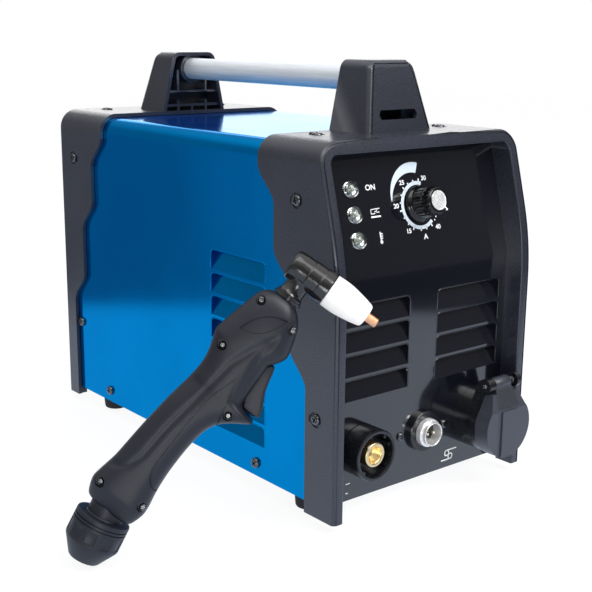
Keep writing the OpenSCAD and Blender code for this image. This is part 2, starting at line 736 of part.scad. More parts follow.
// ---------- Front sockets ----------
module torch_socket_housing() {
    color("#101012") facing_front(torch_socket_at, panel_y, socket_z) difference() {
        union() {
            cylinder(r = torch_socket_r, h = torch_socket_out);
            translate([0, 0, -12]) cylinder(r = torch_thread_r, h = 13);
            translate([0, 0, -sheet_t - 5]) cylinder(r = torch_thread_r + 5, h = 5, $fn = 6);
        }
        translate([0, 0, torch_socket_out - 5]) cylinder(r = torch_socket_r - 2.7, h = 6);
        translate([0, 0, -13]) cylinder(r = torch_insert_r, h = torch_socket_out + 14);
    }
}
module torch_socket_insert() {
    color("#c9a24b") facing_front(torch_socket_at, panel_y, socket_z) difference() {
        union() {
            translate([0, 0, -18]) cylinder(r = torch_insert_r, h = 18 + torch_socket_out - 1.5);
            translate([0, 0, -insert_tail]) cylinder(r = hose_bore_r, h = insert_tail);
        }
        translate([0, 0, -12]) cylinder(r = torch_bore_r, h = torch_socket_out + 12);
        translate([0, 0, -insert_tail - 1]) cylinder(r = 1.6, h = insert_tail);
    }
}
module control_socket_flange() {
    color("#151517") facing_front(control_at, panel_y, socket_z) difference() {
        union() {
            cylinder(r1 = flange_r, r2 = flange_r - 0.3, h = 3.6);
            translate([0, 0, -sheet_t - 3]) cylinder(r = control_thread_r, h = sheet_t + 4);
        }
        translate([0, 0, -sheet_t - 4]) cylinder(r = control_r, h = 12);
    }
}
module control_socket_shell() {
    color("silver") facing_front(control_at, panel_y, socket_z) difference() {
        union() {
            translate([0, 0, -sheet_t - 3]) cylinder(r = control_r, h = control_out + sheet_t + 2.4);
            translate([0, 0, 3.6]) cylinder(r = control_r + 0.6, h = 3);
        }
        translate([0, 0, -sheet_t - 4]) cylinder(r = control_r - 1, h = control_out + sheet_t + 6);
    }
}
module control_socket_core() {
    color("#1c1b1a") facing_front(control_at, panel_y, socket_z) difference() {
        translate([0, 0, -sheet_t - 3]) cylinder(r = control_r - 1, h = 6);
        for (s = [-1, 1]) translate([s * 2.8, 0, -8]) cylinder(r = 1, h = 20);
    }
}
module control_socket_pins() {
    color("#d8c48a") facing_front(control_at, panel_y, socket_z)
        for (s = [-1, 1]) translate([s * 2.8, 0, -8]) {
            cylinder(r = 1, h = 8 + control_out - 3);
            translate([0, 0, 8 + control_out - 3]) sphere(r = 1);
        }
}
module socket_screws() {
    color("#26262a") for (s = [-1, 1]) facing_front(control_at + s * control_screw_x, panel_y, socket_z)
        difference() {
            union() {
                translate([0, 0, -6]) cylinder(r = small_screw_r, h = 6.5);
                cylinder(r1 = 2.9, r2 = 2, h = 1.8);
            }
            for (a = [0, 90]) rotate(a) translate([-1.4, -0.35, 1]) cube([2.8, 0.7, 2]);
        }
}
module earth_socket_housing() {
    root_z = socket_z + earth_r - 10;
    color("#101012") difference() {
        union() {
            facing_front(earth_at, panel_y, socket_z) {
                cylinder(r = earth_r, h = earth_out);
                translate([0, 0, -12]) cylinder(r = earth_thread_r, h = 13);
                translate([0, 0, -sheet_t - 5]) cylinder(r = earth_thread_r + 5, h = 5, $fn = 6);
            }
            for (e = ears) translate([earth_at + e[0], 0, 0]) rotate([90, 0, 90]) linear_extrude(e[1]) {
                translate([hinge_y, hinge_z]) circle(ear_r);
                polygon([[hinge_y, hinge_z + ear_r], [hinge_y + ear_r, hinge_z + ear_r - 2],
                    [earth_front_y + 12, root_z], [earth_front_y, root_z], [earth_front_y, hinge_z - 4],
                    [hinge_y, hinge_z - 4]]);
            }
        }
        facing_front(earth_at, panel_y, socket_z) {
            translate([0, 0, earth_out - 9]) cylinder(r = earth_r - 4.5, h = 10);
            translate([0, 0, -13]) cylinder(r = earth_contact_r, h = earth_out + 14);
        }
        translate([earth_at - 20, hinge_y, hinge_z]) rotate([0, 90, 0]) cylinder(r = hinge_pin_r, h = 44);
    }
}
module earth_socket_contact() {
    color("#c9a24b") facing_front(earth_at, panel_y, socket_z) difference() {
        translate([0, 0, -18]) cylinder(r = earth_contact_r, h = 18 + earth_out - 6);
        translate([0, 0, -12]) cylinder(r = earth_bore_r, h = earth_out + 12);
    }
}
// Lid outline seen from the front, centred on the socket
module lid_front() {
    circle(lid_r);
    polygon([[-lid_r * 0.98, 4], [-lid_top_w / 2, hinge_z - socket_z - ear_r],
        [lid_top_w / 2, hinge_z - socket_z - ear_r], [lid_r * 0.98, 4]]);
    translate([-barrel_w / 2, 0]) square([barrel_w, hinge_z - socket_z]);
}
module socket_lid() {
    ridge_z = socket_z + 12;
    back_y = earth_front_y - fit_gap;
    color("#2b2d33") difference() {
        union() {
            intersection() {
                translate([earth_at, back_y, socket_z]) rotate([90, 0, 0]) linear_extrude(lid_d + 6) lid_front();
                along_x(body_w) polygon([[back_y, 0], [back_y, hinge_z], [hinge_y - barrel_r * 0.9, hinge_z + 1.2],
                    [back_y - lid_d, ridge_z], [back_y - lid_d, socket_z - lid_r + 3],
                    [back_y - lid_d + 2, socket_z - lid_r - 1], [back_y - lid_d + 2, 0]]);
            }
            translate([earth_at - barrel_w / 2, hinge_y, hinge_z]) rotate([0, 90, 0])
                cylinder(r = barrel_r, h = barrel_w);
            intersection() {
                translate([earth_at - barrel_w / 2, back_y - lid_d - 1.2, socket_z - lid_r + 1])
                    cube([barrel_w, 2, ridge_z - socket_z + lid_r - 1]);
                facing_front(earth_at, back_y, socket_z) cylinder(r = lid_r, h = lid_d + 4);
            }
        }
        // Recess over the socket's mouth, and room for the ears and the spring
        translate([earth_at, back_y + 0.01, socket_z]) rotate([90, 0, 0]) cylinder(r = earth_r - 5, h = lid_d - 3);
        for (e = [[-20, 20 - barrel_w / 2], [barrel_w / 2, 20 - barrel_w / 2]])
            translate([earth_at + e[0], hinge_y, hinge_z]) rotate([0, 90, 0])
                cylinder(r = ear_r + 0.6, h = e[1]);
        translate([earth_at - 20, hinge_y, hinge_z]) rotate([0, 90, 0])
            cylinder(r = hinge_pin_r + run_gap, h = 40);
    }
}
module lid_hinge_pin() {
    color("silver") translate([earth_at + ears[0][0] - 0.5, hinge_y, hinge_z]) rotate([0, 90, 0])
        cylinder(r = hinge_pin_r, h = ears[1][0] + ears[1][1] - ears[0][0] + 1);
}
// A round wire or hose along points, as one closed solid
module swept(points, r, sides = 8) {
    n = len(points);
    dirs = [for (i = [0:n - 1]) unit(points[min(i + 1, n - 1)] - points[max(i - 1, 0)])];
    start = unit(cross(dirs[0], abs(dirs[0][2]) < 0.9 ? [0, 0, 1] : [1, 0, 0]));
    sides_of = [for (i = 0, u = start; i < n;
        u = i + 1 < n ? unit(u - dirs[i + 1] * (u * dirs[i + 1])) : u, i = i + 1) u];
    rings = [for (i = [0:n - 1]) let(u = sides_of[i], v = cross(dirs[i], u))
        for (k = [0:sides - 1]) points[i] + r * (u * cos(360 * k / sides) + v * sin(360 * k / sides))];
    polyhedron(rings, concat(
        [[for (k = [0:sides - 1]) k]],
        [for (i = [0:n - 2], k = [0:sides - 1])
            let(a = i * sides + k, b = i * sides + (k + 1) % sides)
            each [[a, a + sides, b + sides], [a, b + sides, b]]],
        [[for (k = [sides - 1:-1:0]) (n - 1) * sides + k]]));
}
module lid_spring() {
    turns = 3;
    steps = 16;
    coil_r = hinge_pin_r + spring_wire_r + 0.35;
    gap = ears[1][0] - barrel_w / 2 - 2 * spring_wire_r - 1;
    color("#55565a") translate([earth_at + barrel_w / 2 + 0.5 + spring_wire_r, hinge_y, hinge_z])
        swept([for (i = [0:turns * steps]) let(a = 360 * i / steps)
            [gap * i / (turns * steps), coil_r * cos(a), coil_r * sin(a)]], spring_wire_r);
}

// ---------- Rear ----------
module fan_frame() {
    color("#1b1b1d") facing_rear(fan_x, rear_panel_y - sheet_t - fan_d, fan_axis_z) difference() {
        union() {
            difference() {
                translate([-fan_size / 2, -fan_size / 2, 0]) cube([fan_size, fan_size, fan_d]);
                translate([0, 0, -1]) cylinder(r = fan_bore_r, h = fan_d + 2);
            }
            cylinder(r = fan_hub_r, h = 3);
            for (a = [45:90:315]) rotate(a) translate([0, -1.5, 0]) cube([fan_bore_r + 2, 3, 3]);
            cylinder(r = 4, h = 8);
        }
        for (c = fan_corners) translate([c[0], c[1], -1]) cylinder(r = 2, h = fan_d + 2);
        translate([0, 0, -1]) cylinder(r = fan_shaft_r + run_gap, h = fan_d);
    }
}
module fan_rotor() {
    color("#2a2a2e") facing_rear(fan_x, rear_panel_y - sheet_t - fan_d, fan_axis_z) {
        translate([0, 0, 0.5]) cylinder(r = fan_shaft_r, h = fan_d - 4);
        difference() {
            translate([0, 0, 4]) cylinder(r = fan_hub_r, h = fan_d - 6);
            translate([0, 0, 3]) cylinder(r = fan_hub_r - 2, h = fan_d - 7);
        }
        for (i = [0:6]) rotate(360 * i / 7) translate([fan_hub_r - 1, 0, fan_d / 2 + 1]) rotate([35, 0, 0])
            translate([0, -9, -0.8]) cube([fan_bore_r - fan_hub_r - 1.5, 18, 1.6]);
    }
}
module fan_guard() {
    wire = 1.8;
    color("silver") facing_rear(fan_x, rear_panel_y, fan_axis_z) difference() {
        union() {
            for (k = [0:4]) rotate_extrude() translate([7 + 7 * k, wire - 0.4]) square([wire, wire]);
            for (a = [45:90:315]) rotate(a) {
                translate([8, -wire / 2, 0]) cube([fan_hole * sqrt(2) - 8, wire, wire]);
                translate([fan_hole * sqrt(2), 0, 0]) cylinder(r = 4, h = wire);
            }
        }
        for (c = fan_corners) translate([c[0], c[1], -1]) cylinder(r = 2, h = 6);
    }
}
module fan_screws() {
    color("#3a3a3e") for (c = fan_corners) facing_rear(fan_x + c[0], rear_panel_y + 1.8, fan_axis_z + c[1])
        pan_head_screw(fan_d / 2);
}
module switch_body() {
    bezel = 2.5;
    color("#161618") translate([switch_x, rear_panel_y, switch_axis_z]) difference() {
        union() {
            translate([-switch_w / 2 - bezel, 0, -switch_h / 2 - bezel])
                cube([switch_w + 2 * bezel, 2, switch_h + 2 * bezel]);
            translate([-switch_w / 2 + 0.1, -22, -switch_h / 2 + 0.1]) cube([switch_w - 0.2, 22.5, switch_h - 0.2]);
            for (x = [-5, 5], z = [-8, 8]) translate([x - 3, -31, z - 0.4]) cube([6, 10, 0.8]);
        }
        translate([-switch_w / 2 + 2.5, -14, -switch_h / 2 + 2]) cube([switch_w - 5, 17, switch_h - 4]);
        translate([-switch_w, rocker_y, 0]) rotate([0, 90, 0]) cylinder(r = 1.5, h = 2 * switch_w);
    }
}
module switch_rocker() {
    r = switch_h / 2 - 2.6;
    w = switch_w - 6;
    color("#b3201c") translate([switch_x, rear_panel_y + rocker_y, switch_axis_z]) {
        rotate([rocker_tilt, 0, 0]) along_x(w) intersection() {
            circle(r);
            polygon([[-4, -r], [6.5, -r], [4.5, 0], [6.5, r], [-4, r]]);
        }
        translate([-w / 2 - 2.3, 0, 0]) rotate([0, 90, 0]) cylinder(r = 1.5 - run_gap, h = w + 4.6);
    }
}
module mains_gland() {
    color("#1a1a1c") facing_rear(gland_x, rear_panel_y, gland_z) difference() {
        union() {
            translate([0, 0, -10]) cylinder(r = gland_thread_r, h = 11);
            cylinder(r = gland_thread_r + 4, h = 6, $fn = 6);
            translate([0, 0, 6]) cylinder(r1 = gland_thread_r + 2.6, r2 = gland_thread_r - 1, h = 12);
            translate([0, 0, -sheet_t - 4]) cylinder(r = gland_thread_r + 4, h = 4, $fn = 6);
        }
        translate([0, 0, -11]) cylinder(r = gland_bore_r, h = 32);
    }
}
module regulator_body() {
    w = regulator_w;
    color("#c7cacf") translate([regulator_x, 0, regulator_z]) difference() {
        union() {
            translate([-w / 2, regulator_y, -15]) cube([w, regulator_l, 30]);
            translate([0, regulator_mid, 14]) cylinder(r = w / 2 - 3, h = 8);
            translate([0, regulator_mid, 21]) cylinder(r = 4, h = 18);
            translate([0, regulator_mid, -18]) cylinder(r = bowl_r - 2.5, h = 4);
            translate([0, rear_panel_y - 14, 0]) rotate([-90, 0, 0])
                cylinder(r = pipe_r, h = regulator_y - rear_panel_y + 15);
            translate([0, rear_panel_y - 24, 0]) rotate([-90, 0, 0]) cylinder(r = hose_bore_r, h = 12);
            for (y = [rear_panel_y - sheet_t - 4, rear_panel_y]) translate([0, y, 0]) rotate([-90, 0, 0])
                cylinder(r = pipe_r + 4, h = 4, $fn = 6);
        }
        translate([0, rear_panel_y - 26, 0]) rotate([-90, 0, 0]) cylinder(r = 2, h = 44);
        translate([w / 2 - 10, regulator_mid, 0]) rotate([0, 90, 0]) cylinder(r = inlet_thread_r, h = 12);
        translate([0, regulator_y + regulator_l - 8, 0]) rotate([-90, 0, 0]) cylinder(r = 5, h = 10);
    }
}
module regulator_knob() {
    r = regulator_w / 2 - 3;
    color("#1b1b1e") translate([regulator_x, regulator_mid, regulator_z + 22 + fit_gap]) difference() {
        union() {
            linear_extrude(19) fluted_ring(r, 24, 0.6);
            translate([0, 0, 18.5]) cylinder(r1 = r - 1, r2 = r - 3, h = 3.5);
        }
        translate([0, 0, -1]) cylinder(r = 4 + run_gap, h = 19);
    }
}
module gauge_case() {
    color("#202124") facing_rear(regulator_x, regulator_y + regulator_l, regulator_z) difference() {
        union() {
            translate([0, 0, -8]) cylinder(r = 5, h = 10);
            translate([0, 0, 1]) cylinder(r = gauge_r, h = gauge_d);
        }
        translate([0, 0, gauge_d - 5]) cylinder(r = gauge_r - 1.8, h = 7);
        translate([0, 0, gauge_d - 9]) cylinder(r = 1 + run_gap, h = 7);
    }
}
module gauge_needle() {
    color("#d2322a") facing_rear(regulator_x, regulator_y + regulator_l, regulator_z) {
        translate([0, 0, gauge_d - 8]) cylinder(r = 1, h = 6.2);
        translate([0, 0, gauge_d - 4]) {
            cylinder(r = 2.2, h = 1.4);
            rotate(needle_rest) linear_extrude(0.8)
                polygon([[-4, -0.9], [gauge_r - 5, -0.25], [gauge_r - 5, 0.25], [-4, 0.9]]);
        }
    }
}
module condensate_bowl() {
    color([0.75, 0.8, 0.85, 0.5]) translate([regulator_x, regulator_mid, regulator_z - 15]) difference() {
        rotate_extrude() polygon([[0, -bowl_len], [bowl_r - 5, -bowl_len], [bowl_r - 1, -bowl_len + 4],
            [bowl_r, -8], [bowl_r + 1.5, -8], [bowl_r + 1.5, 0], [0, 0]]);
        translate([0, 0, -bowl_len + 3]) cylinder(r = bowl_r - 2.5, h = bowl_len);
        translate([0, 0, -bowl_len - 1]) cylinder(r = drain_r + run_gap, h = 6);
    }
}
module drain_valve() {
    color("#c9a24b") translate([regulator_x, regulator_mid, regulator_z - 15 - bowl_len]) {
        translate([0, 0, -5]) cylinder(r = drain_r, h = 9);
        translate([0, 0, 3.2]) cylinder(r = drain_r + 1.5, h = 1.5);
        translate([0, 0, -9]) cylinder(r = drain_r + 1.5, h = 4.2);
    }
}
module air_inlet() {
    color("#c9a24b") translate([regulator_x + regulator_w / 2, regulator_mid, regulator_z]) rotate([0, 90, 0])
        difference() {
            union() {
                translate([0, 0, -10]) cylinder(r = inlet_thread_r, h = 11);
                cylinder(r = inlet_thread_r + 2, h = 6, $fn = 6);
                translate([0, 0, 5]) cylinder(r = inlet_r, h = 12);
                translate([0, 0, 17]) cylinder(r = inlet_r - 1.4, h = 4);
                translate([0, 0, 21]) cylinder(r1 = inlet_r, r2 = inlet_r - 1, h = 4);
            }
            translate([0, 0, -11]) cylinder(r = 3, h = 40);
        }
}

// ---------- Inside ----------
module main_board() {
    color("#1f5c3a") difference() {
        translate([-board_w / 2, board_y0, board_z]) cube([board_w, board_y1 - board_y0, board_t]);
        for (p = board_posts) translate([p[0], p[1], board_z - 1]) cylinder(r = 1.6, h = board_t + 2);
    }
}
module control_board() {
    color("#1f5c3a") on_slope(-26, 36) difference() {
        translate([-control_board_w / 2, -28, -14 - board_t]) cube([control_board_w, control_board_l, board_t]);
        for (x = [-1, 1], y = [-23, control_board_l - 34])
            translate([x * (control_board_w / 2 - 6), y, -18]) cylinder(r = 1.6, h = 6);
    }
}
module heatsinks() {
    color("#a9adb3") both_sides() translate([sink_x, sink_y, board_z + board_t]) {
        translate([0, 0, 8]) cube([3, sink_len, sink_h - 8]);
        for (z = [10:6:sink_h - 2]) translate([0, 0, z]) cube([sink_w, sink_len, 1.5]);
        for (y = [6, sink_len - 12]) translate([0, y, 0]) cube([3, 6, 10]);
    }
}
module transformer() {
    h = 46;
    color("#4a4238") translate([0, transformer_y, board_z + board_t]) {
        difference() {
            translate([-22, -22, 0]) cube([44, 44, h]);
            translate([-14, -23, 7]) cube([28, 46, h - 14]);
        }
        translate([-13.5, -27, 7.5]) cube([27, 54, h - 15]);
    }
}
module output_choke() {
    color("#b5672c") translate([16, panel_y + 46, pan_top]) {
        translate([0, 0, 9]) rotate_extrude() translate([17, 0]) circle(7.5, $fn = 32);
        for (i = [0:19]) rotate(18 * i) translate([17, 0, 9]) rotate([90, 0, 0])
            cylinder(r = 8.6, h = 2.2, center = true, $fn = 32);
    }
}
module capacitors() {
    color("#2b3a67") for (s = [-1, 1], y = can_ys) translate([s * (can_r + 1), y, board_z + board_t]) {
        cylinder(r = can_r, h = can_h);
        translate([0, 0, can_h]) cylinder(r = can_r - 1, h = 1);
    }
}
module solenoid_valve() {
    color("#8a8d92") translate([torch_socket_at, valve_y, pan_top]) difference() {
        union() {
            translate([-12, -17, 0]) cube([24, 34, valve_z - pan_top + 8]);
            translate([0, 0, valve_z - pan_top + 7]) cylinder(r = 11, h = 26);
            for (s = [-1, 1]) translate([0, s * 16, valve_z - pan_top]) rotate([-90 * s, 0, 0])
                cylinder(r = hose_bore_r, h = 11);
        }
        translate([0, -30, valve_z - pan_top]) rotate([-90, 0, 0]) cylinder(r = 1.6, h = 60);
    }
}
module air_hose() {
    color("#27466f") {
        difference() {
            swept(hose_route, hose_r, 12);
            translate(hose_route[0] - [0, 12, 0]) rotate([-90, 0, 0]) cylinder(r = hose_bore_r, h = 13);
            translate([torch_socket_at, valve_y + 14, valve_z]) rotate([-90, 0, 0]) cylinder(r = hose_bore_r, h = 14);
        }
        difference() {
            along_y(panel_y + insert_tail - 8, valve_y - 17.5) translate([torch_socket_at, valve_z]) circle(hose_r);
            along_y(panel_y, valve_y) translate([torch_socket_at, valve_z]) circle(hose_bore_r);
        }
    }
}

// ---------- Torch ----------
// Drawn in the torch's own plane: +X up the handle, +Y across it, +Z out of the visible half
module torch_place() {
    lean_back = (cup_r + torch_off) / cos(torch_lean) + rest_z * tan(torch_lean);
    bend_in = pow(max(0, rest_z - fold_z + bend_len), 2) / 4 / bend_len * tan(slope_a);
    translate([-body_w / 2, front_y + bend_in, 0]) rotate([0, 0, torch_turn]) translate([0, -lean_back, 0])
        rotate([-torch_lean, 0, 0]) translate([torch_u, 0, torch_w]) rotate([0, -torch_angle, 0])
            rotate([90, 0, 0]) children();
}
// Outlines of the handle and of the finger guard below its trigger as [x, y, radius]
handle_outline = [
    [18.5, -10.5, 4], [28, -14.2, 8], [41, -10.6, 20], [70, -8.6, 60], [92, -11.5, 14], [110, -18.5, 4],
    [139, -15.5, 1], [142, -18.7, 1], [148, -21.6, 4], [169.5, -14.5, 5], [174, -2, 10], [172, 13.5, 5],
    [137, 21.8, 7], [116, 14.6, 20], [70, 20, 60], [27, 24, 8], [18, 20, 3]];
finger_guard = [[84, -4, 0], [84, -9.5, 0], [93, -12.2, 14], [107, -29.5, 1.5], [108.8, -21, 1], [113, -14, 0]];
function inset(points, d) = [
    for (i = [0:len(points) - 1])
        let(n = len(points), p = points[i], a = points[(i + n - 1) % n], b = points[(i + 1) % n],
            in_dir = unit([p[0] - a[0], p[1] - a[1]]), out_dir = unit([b[0] - p[0], b[1] - p[1]]),
            n1 = turn2(in_dir, 90), n2 = turn2(out_dir, 90), at = [p[0], p[1]] + (n1 + n2) * d / (1 + n1 * n2))
        [at[0], at[1], max(0.4, p[2] - sign(cross2(in_dir, out_dir)) * d)]];
// A bar along the handle with rounded long edges, between two heights across it
module rounded_bar(x0, x1, low, high, r) {
    h = handle_t / 2;
    translate([x0, 0, 0]) rotate([90, 0, 90]) linear_extrude(x1 - x0)
        polygon(rounded([[low, -h, r], [high, -h, r], [high, h, r], [low, h, r]], 6));
}
// One half of the handle's outer form, standing on the parting plane
module handle_form() {
    h = handle_t / 2;
    intersection() {
        union() {
            linear_extrude(h) polygon(rounded(handle_outline, 4));
            linear_extrude(h) polygon(rounded(finger_guard, 4));
        }
        union() {
            rounded_bar(15, 90, -13, 24, 10);
            rounded_bar(80, 180, -32, 22.5, 12);
        }
    }
}
module handle_shell() {
    h = handle_t / 2;
    slot = trigger_t / 2 + 0.5;
    difference() {
        handle_form();
        difference() {
            translate([0, 0, -1]) linear_extrude(h - handle_wall - 0.5)
                polygon(rounded(inset(handle_outline, handle_wall + 1.5), 4));
            for (p = handle_screws) translate([p[0], p[1], -2]) cylinder(r = 3.4, h = h);
            translate([trigger_pivot[0], trigger_pivot[1], slot]) cylinder(r = 3.4, h = h);
            translate([switch_s, switch_t, 3.2]) cube([12, 6.5, h]);
            for (x = [60, 84]) translate([x, -20, -2]) cube([2, 50, h]);
        }
        translate([109, -34, -1]) cube([32.5, 26, slot + 1]);
        translate([155, neck_t, 0]) rotate([0, 90, 0]) cylinder(r = neck_r, h = 30);
        translate([10, boot_t, 0]) rotate([0, 90, 0]) cylinder(r = boot_neck_r, h = 16);
        translate([switch_s, switch_t, -1]) cube([12, 6.5, 4.2]);
    }
}
module torch_handle_left() {
    h = handle_t / 2;
    color("#2f3136") torch_place() difference() {
        union() {
            handle_shell();
            translate([trigger_pivot[0], trigger_pivot[1], -trigger_t / 2 - 0.3])
                cylinder(r = 1.5, h = trigger_t + 3);
        }
        for (p = handle_screws) translate([p[0], p[1], -1]) {
            cylinder(r = handle_screw_r, h = h + 2);
            translate([0, 0, head_z + 1]) cylinder(r = 3, h = h);
        }
    }
}
module torch_handle_right() {
    color("#2f3136") torch_place() difference() {
        mirror([0, 0, 1]) handle_shell();
        for (p = handle_screws) translate([p[0], p[1], -9]) cylinder(r = handle_screw_r, h = 10);
    }
}
module torch_screws() {
    color("#8d9096") torch_place() for (p = handle_screws) translate([p[0], p[1], head_z]) difference() {
        union() {
            translate([0, 0, -head_z - 8.5]) cylinder(r = handle_screw_r, h = head_z + 8.6);
            cylinder(r1 = 2.7, r2 = 2.2, h = 1.7);
        }
        for (a = [0, 90]) rotate(a) translate([-1.4, -0.3, 1]) cube([2.8, 0.6, 2]);
    }
}
module torch_trigger() {
    color("#26282c") torch_place() difference() {
        union() {
            translate([0, 0, -trigger_t / 2]) linear_extrude(trigger_t) polygon(rounded([
                [110, -22, 1], [110.3, -27.6, 2], [114.7, -29.6, 2.5], [127, -23, 20], [140.3, -19.4, 1],
                [140.3, -16, 1], [135, -11.5, 1], [124, -12.6, 2], [112, -17.5, 2]]));
            translate([trigger_pivot[0], trigger_pivot[1], -trigger_t / 2]) cylinder(r = 3, h = trigger_t);
        }
        translate([trigger_pivot[0], trigger_pivot[1], -trigger_t])
            cylinder(r = 1.5 + run_gap, h = 2 * trigger_t);
    }
}
module trigger_switch() {
    color("#1a1a1c") torch_place() {
        translate([switch_s, switch_t, -3.2]) cube([12, 6.5, 6.4]);
        for (x = [2, 9.5]) translate([switch_s + x, switch_t + 6.4, -1]) cube([0.8, 3, 2]);
    }
}
module along_head() {
    translate([head_s, 0, 0]) rotate([0, 0, head_tilt]) rotate([90, 0, 0]) children();
}
module torch_head() {
    color("#141416") torch_place() {
        difference() {
            union() {
                translate([160, neck_t, 0]) rotate([0, 90, 0]) cylinder(r = neck_r, h = head_s - 164);
                translate([174.2, neck_t, 0]) rotate([0, 90, 0]) cylinder(r = neck_r + 2, h = 1.6);
                translate([175.7, neck_t, 0]) rotate([0, 90, 0]) cylinder(r = neck_r + 1.4, h = 1.6);
                along_head() rotate_extrude() polygon([[0, -11.2], [6.8, -11.2], [head_r - 0.7, -8.4],
                    [head_r - 0.7, 0.8], [head_r - 0.3, 1.5], [head_r - 0.3, 8.5], [head_r, 9.2], [head_r, cup_at],
                    [spigot_r, cup_at], [spigot_r, cup_at + 3.5], [0, cup_at + 3.5]]);
            }
            along_head() translate([0, 0, 2]) cylinder(r = electrode_r, h = 30);
            translate([150, neck_t, 0]) rotate([0, 90, 0]) cylinder(r = 3, h = head_s - 156);
        }
    }
}
module electrode() {
    color("#c0724a") torch_place() along_head() translate([0, 0, 2])
        cylinder(r = electrode_r, h = cup_at + cup_len - 6);
}
module shield_cup() {
    color("#f1f1ee") torch_place() along_head() translate([0, 0, cup_at]) rotate_extrude() polygon([
        [spigot_r, 0], [cup_r, 0], [cup_r + 0.1, cup_len * 0.28], [cup_r - 0.8, cup_len * 0.56],
        [cup_r - 2.1, cup_len * 0.85], [cup_r - 3, cup_len * 0.95], [cup_r - 4.2, cup_len],
        [tip_r + 0.3, cup_len], [tip_r + 0.3, cup_len - 3], [cup_r - 4.5, cup_len - 6], [spigot_r, cup_len - 12]]);
}
module nozzle_tip() {
    end = cup_len + tip_out;
    color("#cf8a5c") torch_place() along_head() translate([0, 0, cup_at]) rotate_extrude() polygon([
        [2.7, 3.5], [5, 3.5], [5, cup_len - 6.4], [tip_r, cup_len - 3.4], [tip_r, end - 0.4], [tip_r - 0.4, end],
        [0.7, end], [0.7, end - 3], [2.7, end - 6]]);
}
module torch_boot() {
    top_z = (torch_w + boot_s * sin(torch_angle) + boot_t * cos(torch_angle)) * cos(torch_lean);
    axis_z = sin(torch_angle + boot_tilt) * cos(torch_lean);
    long = (top_z - boot_end_r * sqrt(1 - axis_z * axis_z)) / axis_z;
    color("#26282c") torch_place() difference() {
        union() {
            translate([boot_s - 4, boot_t, 0]) rotate([0, 90, 0]) cylinder(r = boot_neck_r, h = 14);
            translate([boot_s, boot_t, 0]) rotate([0, 0, boot_tilt]) rotate([0, -90, 0]) rotate_extrude()
                polygon([[0, 0], [boot_r - 1, 0], [boot_r, 1],
                    [boot_r, long - 11], [boot_end_r, long], [0, long]]);
        }
        translate([boot_s, boot_t, 0]) rotate([0, 0, boot_tilt]) rotate([0, -90, 0])
            translate([0, 0, 6]) cylinder(r = boot_bore_r, h = long);
    }
}

base_pan();
cover();
front_frame();
rear_frame();
front_panel();
rear_panel();
handle_tube();
feet();
foot_screws();
casing_screws();
fan_screws();
knob();
knob_cap();
knob_shaft();
potentiometer();
pilot_lenses();
lamp_holders();
torch_socket_housing();
torch_socket_insert();
control_socket_flange();
control_socket_shell();
control_socket_core();
control_socket_pins();
socket_screws();
earth_socket_housing();
earth_socket_contact();
socket_lid();
lid_hinge_pin();
lid_spring();
fan_frame();
fan_rotor();
fan_guard();
switch_body();
switch_rocker();
mains_gland();
regulator_body();
regulator_knob();
gauge_case();
gauge_needle();
condensate_bowl();
drain_valve();
air_inlet();
main_board();
control_board();
heatsinks();
transformer();
output_choke();
capacitors();
solenoid_valve();
air_hose();
torch_handle_left();
torch_handle_right();
torch_screws();
torch_trigger();
trigger_switch();
torch_head();
electrode();
shield_cup();
nozzle_tip();
torch_boot();
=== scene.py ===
# %% [markdown]
# # A plasma cutter unit, dressed piece by piece
# The construction of the machine is already there as a fixed frame of plain solids. This lesson gives it
# its looks: the camera and the studio first, then the finishes, then every piece whose plain solid lacks
# what the real one shows. Each new piece is modelled the way a hand would do it in edit mode.

# %% Start: the fixed frame
import json
from math import atan2, copysign, cos, degrees, exp, hypot, pi, radians, sin, sqrt, tan

import bmesh
import bpy
from mathutils import Matrix, Vector

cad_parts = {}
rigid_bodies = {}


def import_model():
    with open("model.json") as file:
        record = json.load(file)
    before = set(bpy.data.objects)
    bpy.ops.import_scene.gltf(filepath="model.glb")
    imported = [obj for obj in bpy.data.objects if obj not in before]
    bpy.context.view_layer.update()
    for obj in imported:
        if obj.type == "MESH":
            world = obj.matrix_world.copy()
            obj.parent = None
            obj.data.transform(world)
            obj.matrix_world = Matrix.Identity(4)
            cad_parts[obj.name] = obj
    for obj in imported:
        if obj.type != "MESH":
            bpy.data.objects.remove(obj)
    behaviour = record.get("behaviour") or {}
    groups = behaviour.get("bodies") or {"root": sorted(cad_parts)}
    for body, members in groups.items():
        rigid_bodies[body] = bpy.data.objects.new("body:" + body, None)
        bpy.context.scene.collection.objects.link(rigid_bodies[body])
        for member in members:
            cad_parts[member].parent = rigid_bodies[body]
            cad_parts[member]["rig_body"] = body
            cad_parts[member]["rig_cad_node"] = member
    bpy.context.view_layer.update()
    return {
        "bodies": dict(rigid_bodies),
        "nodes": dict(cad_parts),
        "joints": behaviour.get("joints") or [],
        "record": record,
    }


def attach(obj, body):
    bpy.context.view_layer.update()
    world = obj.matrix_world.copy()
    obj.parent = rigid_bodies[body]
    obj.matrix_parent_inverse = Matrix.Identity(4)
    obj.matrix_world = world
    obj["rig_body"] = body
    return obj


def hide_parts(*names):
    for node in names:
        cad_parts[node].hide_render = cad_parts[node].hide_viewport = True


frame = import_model()
nodes_of_frame = frame["nodes"]
body_of_node = {n: b for b, members in frame["record"]["behaviour"]["bodies"].items() for n in members}
slot_of_node = {p["node"]: p["material_slot"] for p in frame["record"]["subparts"]}
MM = 0.001
QUARTER = pi / 2


def at(x, y, z=0):
    """A move in millimetres."""
    return Matrix.Translation((x * MM, y * MM, z * MM))


def spin(angle, axis="Z"):
    """A turn about an axis."""
    return Matrix.Rotation(angle, 4, axis)


def deselect():
    """Selects nothing."""
    bpy.ops.object.select_all(action="DESELECT")

